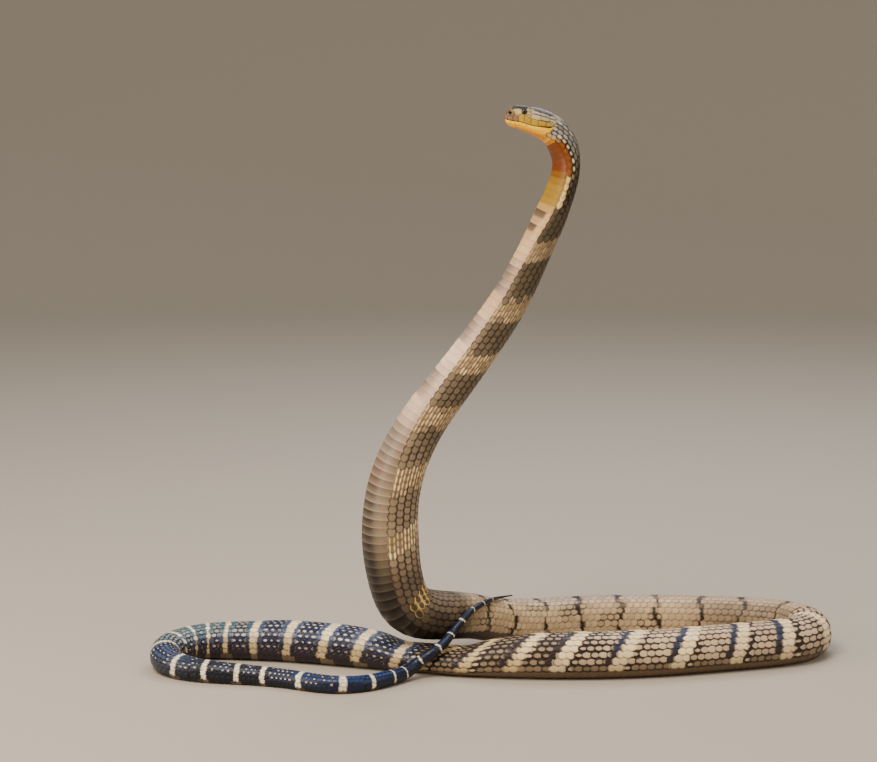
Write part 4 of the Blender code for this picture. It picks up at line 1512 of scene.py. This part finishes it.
# Shields of each row: back from the snout, place in the row, reach back and across, tone
SHIELD_ROWS = {
    Row.CROWN: [
        # rostral, internasals, prefrontals, frontal, brow shields
        (0.2, 6.0, 2.2, 11.0, "snout"), (6.4, 3.7, 3.3, 3.7, "snout"), (14.2, 4.4, 4.6, 4.8, "crown"),
        (27.0, 0.0, 7.6, 4.6, "crown"), (26.3, 8.6, 6.6, 3.5, "crown_dark"),
        # parietals, the large pair behind them, and the shields beside
        (42.5, 6.6, 9.2, 6.4, "crown"), (59.5, 5.0, 8.0, 5.0, "crown"), (57.0, 14.5, 6.0, 4.6, "temple"),
        (69.0, 12.0, 4.6, 4.2, "temple"), (71.5, 3.8, 4.4, 4.0, "temple"),
    ],
    Row.SIDE: [
        # nasals, the shield before the eye, and three behind it
        (3.4, 9.4, 2.4, 3.6, "snout"), (8.7, 9.8, 2.9, 3.4, "snout"), (15.8, 11.8, 4.6, 3.8, "cheek"),
        (30.6, 18.6, 2.5, 2.6, "temple"), (31.2, 14.4, 2.3, 2.3, "cheek"), (30.2, 11.0, 2.4, 1.9, "cheek"),
        # temporals
        (39.5, 18.6, 6.0, 3.8, "temple"), (39.5, 11.8, 6.2, 3.1, "cheek"), (51.5, 19.0, 6.2, 3.9, "temple"),
        (51.5, 11.8, 6.0, 3.5, "temple"), (62.5, 16.5, 4.8, 4.2, "temple"), (62.5, 8.6, 4.6, 3.9, "temple"),
        (71.0, 13.0, 4.2, 3.9, "temple"), (71.0, 5.0, 4.2, 3.9, "temple"), (66.0, 1.4, 3.6, 3.2, "temple"),
        # upper lip shields, of which the third and fourth touch the eye
        (6.8, 2.8, 3.0, 3.0, "rosy"), (13.4, 3.6, 3.6, 3.7, "rosy"), (20.4, 5.0, 3.6, 5.0, "labial"),
        (28.4, 4.6, 4.5, 4.7, "labial"), (37.4, 4.2, 4.6, 4.3, "labial"), (47.0, 4.0, 5.0, 4.2, "labial"),
        (57.2, 2.8, 5.2, 3.2, "labial"),
    ],
    Row.LIP: [
        (4.8, 2.4, 3.0, 2.5, "lip_cream"), (10.6, 2.6, 3.0, 2.7, "lip_cream"),
        (17.0, 2.8, 3.4, 2.9, "lip_cream"), (24.4, 3.2, 4.0, 3.3, "lip_cream"),
        (32.6, 3.2, 4.2, 3.3, "lip_cream"), (41.0, 3.0, 4.3, 3.1, "lip_cream"),
        (49.6, 2.8, 4.3, 2.9, "lip_cream"), (58.4, 2.6, 4.4, 2.8, "lip_cream"),
    ],
    Row.THROAT: [
        # chin: the front shield and two pairs behind it
        (1.8, 0.0, 2.6, 4.5, "lip_cream"), (11.2, 3.3, 6.8, 3.4, "amber"), (25.0, 3.6, 7.2, 3.5, "amber"),
    ],
}
SHIELDS = [Shield(row, *measures) for row, shields in SHIELD_ROWS.items() for measures in shields]


def gular_scales() -> list[Shield]:
    """Small throat scales behind the chin shields, in slanting rows up the jaw."""
    found = []
    for column, back in enumerate(np.arange(20.0, 82.0, 5.4)):
        for step in range(4):
            place = 3.4 + 6.6 * step + (3.3 if column % 2 else 0.0)
            if back > 32.0 or place > 9.0:
                found.append(Shield(Row.THROAT, float(back), place, 3.9, 3.3, "amber"))
    return found


@dataclass
class HeadPlaces:
    """Where each point of the head skin lies, in millimetres, as one half of the head sees it."""

    back: np.ndarray
    over_mouth: np.ndarray
    from_crown: np.ndarray
    from_chin: np.ndarray


@dataclass
class HeadSkin:
    """The whole skin of the head and jaw: shields, mouth, nostrils, brow and eye sockets."""

    body: Body
    eye_centres: dict
    ends: float = 0.082
    half_columns: int = 160
    ring_step: float = 0.00034
    cap_rings: int = 10
    cap_bulge: float = 0.0006
    mouth: tuple = (
        (-0.0200, -0.0030), (-0.0010, -0.0043), (0.0108, -0.0065), (0.0200, -0.0079), (0.0330, -0.0122),
        (0.0466, -0.0142), (0.0573, -0.0152), (0.0630, -0.0138),
    )
    mouth_corner: float = 62.0
    nostril: tuple = (5.7, 4.6)
    brow: tuple = (0.0255, 0.0060, 0.0011, math.radians(50.0), math.radians(16.0))
    # heights and depths of the relief, in millimetres
    dome: float = 0.20
    suture_deep: float = 0.30
    suture_wide: float = 0.42
    jaw_step: float = 0.55
    mouth_deep: float = 1.05
    upper_lip: float = 0.34
    lower_lip: float = 0.22
    eye_rim: float = 0.26
    socket_deep: float = 2.9
    nostril_deep: float = 1.8
    nostril_rim: float = 0.20
    nape_tuck: float = 1.1

    def axes(self) -> tuple[np.ndarray, np.ndarray]:
        """Snout point, and the way straight back in plan."""
        snout = self.body.line[0]
        back = np.array(ROUTE[3]) - snout
        back[2] = 0.0
        return snout, unit(back)

    def base(self) -> tuple[np.ndarray, np.ndarray, np.ndarray]:
        """Plain grid of the head before any relief.

        Returns:
            Points, distances and turns, each by ring and column.
        """
        s = np.concatenate([np.linspace(0.0, 0.004, 20)[:-1], np.arange(0.004, self.ends, self.ring_step)])
        shares = np.linspace(0.0, 1.0, self.half_columns + 1)
        turns = []
        for place in s:
            right = self.body.spread(float(place), shares, -math.pi / 2.0, math.pi / 2.0)
            turns.append(np.concatenate([right, math.pi - right[-2:0:-1]]))
        turns = np.array(turns)
        s_grid = np.broadcast_to(s[:, None], turns.shape)
        points = self.body.surface(s_grid, turns)
        centre = points[0].mean(axis=0)
        tailward = unit(self.body.tailward[0])
        shrink = np.sin(0.5 * math.pi * np.arange(1, self.cap_rings + 1) / (self.cap_rings + 1))
        cap = centre + (points[0] - centre) * shrink[:, None, None]
        cap = cap - tailward * (self.cap_bulge * (1.0 - shrink ** 2))[:, None, None]
        points = np.concatenate([cap, points])
        zeros = np.zeros((self.cap_rings, turns.shape[1]))
        cap_turns = np.tile(turns[0], (self.cap_rings, 1))
        return points, np.concatenate([zeros, s_grid]), np.concatenate([cap_turns, turns])

    def places(self, points: np.ndarray) -> HeadPlaces:
        """Measure the grid from the snout, the mouth, the crown and the chin.

        Args:
            points: the plain grid.

        Returns:
            The places, in millimetres.
        """
        snout, back = self.axes()
        behind = PER_METRE * (points - snout) @ back
        height = PER_METRE * (points[..., 2] - snout[2])
        mouth = PER_METRE * np.array(self.mouth)
        over = height - np.interp(behind, mouth[:, 0], mouth[:, 1])
        half = self.half_columns
        sides = [np.arange(half + 1), np.concatenate([[0], np.arange(2 * half - 1, half - 1, -1)])]
        over_mouth, from_crown, from_chin = (np.zeros(over.shape) for _ in range(3))
        for columns in sides:
            strip = points[:, columns]
            arc = PER_METRE * np.cumsum(np.linalg.norm(np.diff(strip, axis=1), axis=2), axis=1)
            arc = np.concatenate([np.zeros((len(strip), 1)), arc], axis=1)
            line = np.array([np.interp(0.0, over[i, columns], arc[i]) for i in range(len(strip))])
            line = np.where(over[:, columns[0]] > 0.0, -1.0, line)
            over_mouth[:, columns] = arc - line[:, None]
            from_crown[:, columns] = arc[:, -1:] - arc
            from_chin[:, columns] = arc
        return HeadPlaces(behind, over_mouth, from_crown, from_chin)

    def shields(self, at: HeadPlaces) -> tuple[np.ndarray, np.ndarray, np.ndarray]:
        """Find the shield of every point.

        Args:
            at: places of the grid.

        Returns:
            How far out in its shield each point lies (1 at the rim), distance to the nearest
            suture in millimetres, and the shield's number.
        """
        shape = at.back.shape
        best, second = np.full(shape, 99.0), np.full(shape, 100.0)
        number = np.zeros(shape, int)
        slope_a, slope_b = np.zeros(shape + (2,)), np.zeros(shape + (2,))
        upper = at.over_mouth >= 0.0
        for index, shield in enumerate(self.all_shields):
            mirrored = (1.0, -1.0) if shield.row in (Row.CROWN, Row.THROAT) and shield.place > 0.0 else (1.0,)
            for sign in mirrored:
                step_back = at.back - shield.back
                step_up = {
                    Row.CROWN: sign * shield.place - at.from_crown,
                    Row.SIDE: at.over_mouth - shield.place,
                    Row.LIP: at.over_mouth + shield.place,
                    Row.THROAT: at.from_chin - sign * shield.place,
                }[shield.row]
                out = np.hypot(step_back / shield.length, step_up / shield.width) + 1e-6
                slope = np.stack([step_back / shield.length ** 2, step_up / shield.width ** 2], axis=-1)
                slope = slope / out[..., None]
                allowed = upper if shield.row in (Row.CROWN, Row.SIDE) else ~upper
                out = np.where(allowed, out, 98.0)
                first = out < best
                next_best = ~first & (out < second)
                second = np.where(first, best, np.where(next_best, out, second))
                slope_b = np.where(first[..., None], slope_a, np.where(next_best[..., None], slope, slope_b))
                slope_a = np.where(first[..., None], slope, slope_a)
                best = np.where(first, out, best)
                number = np.where(first, index, number)
        apart = np.linalg.norm(slope_a - slope_b, axis=-1)
        return best, (second - best) / np.maximum(apart, 0.02), number

    def relief(self, points: np.ndarray, s: np.ndarray, turn: np.ndarray, at: HeadPlaces,
               out: np.ndarray, suture: np.ndarray) -> np.ndarray:
        """Height of the relief over the plain head.

        Args:
            points: the plain grid.
            s: distances of the grid.
            turn: turns of the grid.
            at: places of the grid.
            out: how far out in its shield each point lies.
            suture: distance to the nearest suture.

        Returns:
            Heights in millimetres.
        """
        fades = 1.0 - ease(s, 0.066, 0.074)
        height = fades * self.dome * (1.0 - np.minimum(out, 1.0) ** 2)
        height = height - fades * self.suture_deep * (1.0 - ease(suture, 0.05, self.suture_wide))
        shut = 1.0 - ease(at.back, self.mouth_corner - 2.0, self.mouth_corner + 1.0)
        below = ease(-at.over_mouth, 0.0, 0.7)
        height = height - self.jaw_step * below * (1.0 - ease(at.back, 46.0, 62.0))
        height = height - self.mouth_deep * shut * (1.0 - ease(np.abs(at.over_mouth + 0.1), 0.10, 0.80))
        for lip, over in ((self.upper_lip, 1.5), (self.lower_lip, -1.5)):
            height = height + lip * shut * np.exp(-((at.over_mouth - over) / 0.9) ** 2)
        middle, length, rise, angle, arc = self.brow
        off_brow = np.minimum(np.abs(turn - angle), np.abs(turn - (math.pi - angle)))
        height = height + PER_METRE * rise * np.exp(-((s - middle) / length) ** 2 - (off_brow / arc) ** 2)
        reach = self.from_eye(points)
        height = height + self.eye_rim * np.exp(-((reach - 3.9) / 0.55) ** 2)
        height = height * ease(reach, 2.5, 3.3) - self.socket_deep * (1.0 - ease(reach, 2.4, 3.3))
        hole = self.from_nostril(points)
        height = height - self.nostril_deep * np.exp(-(hole / 1.35) ** 2)
        height = height + self.nostril_rim * np.exp(-((hole - 2.5) / 0.5) ** 2)
        return height - self.nape_tuck * ease(s, 0.068, 0.081)

    def from_eye(self, points: np.ndarray) -> np.ndarray:
        """Distance of each point from the nearer eye's axis, in millimetres.

        Args:
            points: the plain grid.

        Returns:
            Distances by ring and column.
        """
        reaches = []
        for centre in self.eye_centres.values():
            off = points - centre
            reaches.append(np.where(np.abs(off[..., 1]) < 0.008, np.hypot(off[..., 0], off[..., 2]), 1.0))
        return PER_METRE * np.minimum(*reaches)

    def from_nostril(self, points: np.ndarray) -> np.ndarray:
        """Distance of each point from its side's nostril, drawn out along the snout.

        Args:
            points: the plain grid.

        Returns:
            Distances by ring and column.
        """
        snout, back = self.axes()
        behind = PER_METRE * (points - snout) @ back - self.nostril[0]
        height = PER_METRE * (points[..., 2] - snout[2]) - self.nostril[1]
        return np.hypot(behind / 1.25, height)

    def colours(self, points: np.ndarray, s: np.ndarray, at: HeadPlaces, out: np.ndarray,
                suture: np.ndarray, number: np.ndarray) -> np.ndarray:
        """Colours of the head skin.

        Args:
            points: the plain grid.
            s: distances of the grid.
            at: places of the grid.
            out: how far out in its shield each point lies; not used.
            suture: distance to the nearest suture.
            number: each point's shield.

        Returns:
            Linear colours.
        """
        draw = np.random.default_rng(SEED + 2).random(len(self.all_shields))
        tints = np.array([tone(shield.tint) for shield in self.all_shields]) * (0.88 + 0.24 * draw)[:, None]
        found = tints[number]
        upper = at.over_mouth >= 0.0
        over, under = at.over_mouth, -at.over_mouth
        # crown: dark over the eye and behind it, with a pale painted highlight along its top
        dark = window(at.back, 12.0, 19.0, 42.0, 52.0) * window(at.from_crown, 2.0, 4.0, 10.5, 13.0)
        dark = dark * (1.0 - 0.35 * ease(at.back, 30.0, 36.0))
        found = blend(found, tone("crown_dark"), 0.85 * dark * upper)
        pale = (1.0 - ease(at.from_crown, 0.8, 2.2)) * window(at.back, 6.0, 12.0, 62.0, 76.0)
        found = blend(found, tone("crown_top_glint"), 0.7 * pale * upper)
        # side: a lilac painted sheen, as light from above, on the upper temples; the lip shields deeper
        # toward the mouth corner
        lane = over + 0.15 * (at.back - 46.0)
        span = window(at.back, 33.0, 40.0, 60.0, 70.0) * upper
        found = blend(found, tone("lilac_sheen"), 0.45 * span * ease(lane, 11.0, 12.5))
        found = blend(found, tone("crown_dark"), 0.88 * span * window(lane, 17.6, 19.2, 25.0, 27.0))
        low = ease(at.back, 34.0, 50.0) * (1.0 - ease(np.abs(over - 1.8), 0.6, 2.0)) * (at.back < 60.0)
        found = blend(found, tone("labial_low"), 0.5 * low * upper)
        crease = window(at.back, 40.0, 46.0, 60.0, 64.0) * (1.0 - ease(np.abs(over - 8.3), 0.2, 1.0))
        high = span * (1.0 - ease(np.abs(lane - 14.6), 0.4, 1.3))
        found = blend(found, tone("suture"), np.maximum(0.85 * crease * upper, 0.75 * high))
        spot = np.hypot((at.back - 17.5) / 2.6, (over - 12.6) / 1.6)
        found = blend(found, tone("lip_cream"), 0.6 * upper * (1.0 - ease(spot, 0.6, 1.2)))
        line = 1.0 - ease(suture, 0.16, 0.70)
        found = blend(found, tone("suture"), 0.75 * line * upper)
        # jaw: a bright strip along the lip, amber under it, rust under that and toward the throat; the rust
        # under the amber is partly painted shade under the chin, most at the front
        strip = 2.8 + 2.2 * ease(at.back, 22.0, 54.0)
        below = np.where(upper, 0.0, ease(under, strip, strip + 1.3))
        jaw = np.broadcast_to(tone("lip_cream"), found.shape)
        jaw = blend(jaw, tone("amber"), below)
        deep = ease(under, strip + 3.5, strip + 9.5) * (1.0 - 0.4 * ease(at.back, 40.0, 58.0))
        jaw = blend(jaw, tone("chin"), 0.55 * deep)
        jaw = blend(jaw, tone("lip_suture"), 0.35 * line * (below > 0.5))
        jaw = blend(jaw, tone("rust"), ease(s, 0.062, 0.080))
        behind = ease(at.back, 60.0, 66.0) * (1.0 - ease(under, 3.0, 6.0))
        jaw = blend(jaw, tone("temple"), behind)
        found = np.where(upper[..., None], found, jaw)
        # painted shade in the mouth slit, widening toward the corner
        shut = 1.0 - ease(at.back, self.mouth_corner - 1.0, self.mouth_corner + 2.0)
        wide = 0.55 + 0.95 * ease(at.back, 38.0, 58.0)
        lips = 1.0 - ease(np.abs(over - 0.2 * wide), 0.4 * wide, 1.3 * wide)
        found = blend(found, tone("dark_rim_and_hollow_shade"), 0.95 * shut * lips)
        # painted shade in the eye socket, with the dark skin round the eye
        reach = self.from_eye(points)
        found = blend(found, tone("dark_rim_and_hollow_shade"), 1.0 - ease(reach, 3.2, 4.3))
        # painted shade in the nostril
        hole = self.from_nostril(points)
        return blend(found, tone("dark_rim_and_hollow_shade"), 1.0 - ease(hole, 1.5, 3.0))

    def build(self, nodes: list[str]) -> bpy.types.Object:
        """Build the head.

        Args:
            nodes: frame nodes that it stands for.

        Returns:
            The piece.
        """
        self.all_shields = SHIELDS + gular_scales()
        points, s, turn = self.base()
        at = self.places(points)
        out, suture, number = self.shields(at)
        height = self.relief(points, s, turn, at, out, suture)
        around = np.roll(points, -1, axis=1) - np.roll(points, 1, axis=1)
        along = np.gradient(points, axis=0)
        outward = unit(np.cross(around, along))
        moved = points + outward * MM * height[..., None]
        rows, columns = moved.shape[:2]
        faces = tube_faces(rows, columns)
        tip = rows * columns
        for j in range(columns):
            faces.append((tip, (j + 1) % columns, j))
        faces.append(tuple((rows - 1) * columns + k for k in range(columns)))
        snout_tip = moved[0].mean(axis=0)
        mesh = make_mesh("head_skin", np.concatenate([moved.reshape(-1, 3), snout_tip[None, :]]), faces)
        tints = self.colours(points, s, at, out, suture, number).reshape(-1, 3)
        store(mesh, "tint", "FLOAT_COLOR", np.concatenate([tints, tints[:1]]))
        tube_unwrap(mesh, rows, columns)
        mesh.materials.append(Keratin("head_shield_keratin", 0.32, 0.48, 0.3, 0.00003, 3.5, 0.30).make())
        return add_piece(mesh, nodes)


@dataclass
class Eye:
    """Round dark eye under its clear scale."""

    radius: float = 0.0043
    rings: int = 40

    def build(self, name: str, centre: np.ndarray, outward: np.ndarray, node: str) -> bpy.types.Object:
        """Build one eye.

        Args:
            name: piece name.
            centre: middle of the ball.
            outward: the way it looks.
            node: frame node that it stands for.

        Returns:
            The piece.
        """
        columns = 2 * self.rings
        tilt = math.pi * np.arange(1, self.rings) / self.rings
        turn = 2.0 * math.pi * np.arange(columns) / columns
        forward = unit(outward)
        up = unit(np.array([0.0, 0.0, 1.0]) - forward * forward[2])
        side = np.cross(up, forward)
        ring = np.cos(turn)[:, None] * side + np.sin(turn)[:, None] * up
        points = centre + self.radius * (
            np.cos(tilt)[:, None, None] * forward + np.sin(tilt)[:, None, None] * ring[None])
        rows = len(tilt)
        faces = [face[::-1] for face in tube_faces(rows, columns)]
        first, last = rows * columns, rows * columns + 1
        for j in range(columns):
            after = (j + 1) % columns
            faces.append((first, j, after))
            faces.append((last, (rows - 1) * columns + after, (rows - 1) * columns + j))
        poles = np.array([centre + forward * self.radius, centre - forward * self.radius])
        mesh = make_mesh(name, np.concatenate([points.reshape(-1, 3), poles]), faces)
        off_axis = np.repeat(np.where(tilt < math.pi / 2.0, np.sin(tilt), 1.0), columns)
        store(mesh, "off_axis", "FLOAT", np.concatenate([off_axis, [0.0, 1.0]]))
        mesh.materials.append(bpy.data.materials.get(Spectacle.name) or Spectacle().make())
        return add_piece(mesh, [node])


@dataclass
class Studio:
    """Plain pale floor, soft lights and the camera at the photo's viewing angle."""

    flat_radius: float = 4.5
    sweep_radius: float = 3.0
    wall_height: float = 5.0
    eye_height: float = 0.80
    away: float = 2.905
    left: float = 0.080
    pitch_down: float = math.radians(7.97)
    sensor_mm: float = 36.0
    focal_px: float = 2150.0
    image_width_px: float = 877.0
    sky_tone: str = "#f1ece4"
    sky_strength: float = 0.60

    def floor(self) -> None:
        """Lay the paper floor, which sweeps up to a wall far behind and all round."""
        bend = np.radians(np.linspace(0.0, 90.0, 16))
        out = self.flat_radius + self.sweep_radius * np.sin(bend)
        up = self.sweep_radius * (1.0 - np.cos(bend))
        reach = np.concatenate([[self.flat_radius / 2.0], out, out[-1:]])
        height = np.concatenate([[0.0], up, [self.wall_height]]) - 0.0002
        turn = np.radians(np.arange(0.0, 360.0, 5.0))
        rings = [
            np.stack([r * np.cos(turn), r * np.sin(turn), 0.0 * turn + z], axis=1)
            for r, z in zip(reach, height)
        ]
        faces = [face[::-1] for face in tube_faces(len(rings), len(turn))]
        faces.append(tuple(range(len(turn))))
        mesh = make_mesh("studio_floor", np.concatenate(rings), faces)
        mesh.materials.append(MattPaper().make())
        floor = put("studio_floor", mesh)

    def light(self, name: str, place: tuple, target: tuple, size: float, watts: float, warmth: str) -> None:
        """Hang one soft area light.

        Args:
            name: its name.
            place: where it hangs.
            target: what it faces.
            size: side of its square face in metres.
            watts: its power.
            warmth: its tone.
        """
        data = bpy.data.lights.new(name, "AREA")
        data.size = size
        data.energy = watts
        data.color = linear(warmth)
        lamp = put(name, data)
        lamp.location = place
        lamp.rotation_euler = (Vector(target) - Vector(place)).to_track_quat("-Z", "Y").to_euler()

    def build(self) -> None:
        """Set up floor, lights, world and camera."""
        self.floor()
        self.light("key", (-1.1, -1.7, 2.9), (0.0, 0.0, 0.30), 1.6, 115.0, "#ffefdc")
        self.light("side", (-2.6, -1.0, 0.9), (-0.05, 0.0, 0.45), 1.4, 58.0, "#ffedd8")
        self.light("fill", (2.4, -1.6, 1.5), (0.2, 0.0, 0.10), 2.4, 30.0, "#fff4e8")
        self.light("back", (0.6, 1.6, 2.8), (0.0, 0.0, 0.10), 1.8, 48.0, "#f2f4ff")
        world = bpy.data.worlds.new("studio_world")
        bpy.context.scene.world = world
        world.use_nodes = True
        sky = world.node_tree.nodes["Background"]
        sky.inputs["Color"].default_value = (*linear(self.sky_tone), 1.0)
        sky.inputs["Strength"].default_value = self.sky_strength
        data = bpy.data.cameras.new("camera")
        data.sensor_width = self.sensor_mm
        data.lens = self.focal_px * self.sensor_mm / self.image_width_px
        camera = put("camera", data)
        camera.location = (-self.left, -self.away, self.eye_height)
        camera.rotation_euler = (math.pi / 2.0 - self.pitch_down, 0.0, 0.0)
        bpy.context.scene.camera = camera


def main() -> None:
    """Build the snake and the studio."""
    logging.basicConfig(level=logging.INFO, format="%(message)s")
    body, markings = Body(), Markings()
    pitch = Pitch(body)
    head_nodes = {"head", "lower_jaw", "eye_left", "eye_right"}
    UnderSkin(body, markings).build(sorted(set(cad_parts) - head_nodes))
    eyes = {}
    for side in ("left", "right"):
        low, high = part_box("eye_" + side)
        eyes[side] = (np.array(low) + np.array(high)) / 2.0
    HeadSkin(body, eyes).build(["head", "lower_jaw"])
    facing = unit(eyes["right"] - eyes["left"])
    Eye().build("left_eye", eyes["left"], -facing, "eye_left")
    Eye().build("right_eye", eyes["right"], facing, "eye_right")
    BackScales(body, pitch, markings).build([
        ("back_scales_raised", "body_skin", 0.0, 0.850),
        ("back_scales_rear", "body_skin", 0.850, 1.440),
        ("back_scales_front", "body_skin", 1.440, 2.035),
        ("back_scales_tail", "tail_skin", 2.035, 3.200),
    ])
    scutes = BellyScutes(body, pitch, markings)
    scutes.build("throat_scutes", "throat_skin", 0.0, 0.235)
    scutes.build("belly_scutes_raised", "body_skin", 0.235, 0.900)
    scutes.build("belly_scutes_loops", "body_skin", 0.900, 2.035)
    scutes.build("belly_scutes_tail", "tail_skin", 2.035, 3.200)
    Studio().build()


if __name__ == "__main__":
    main()
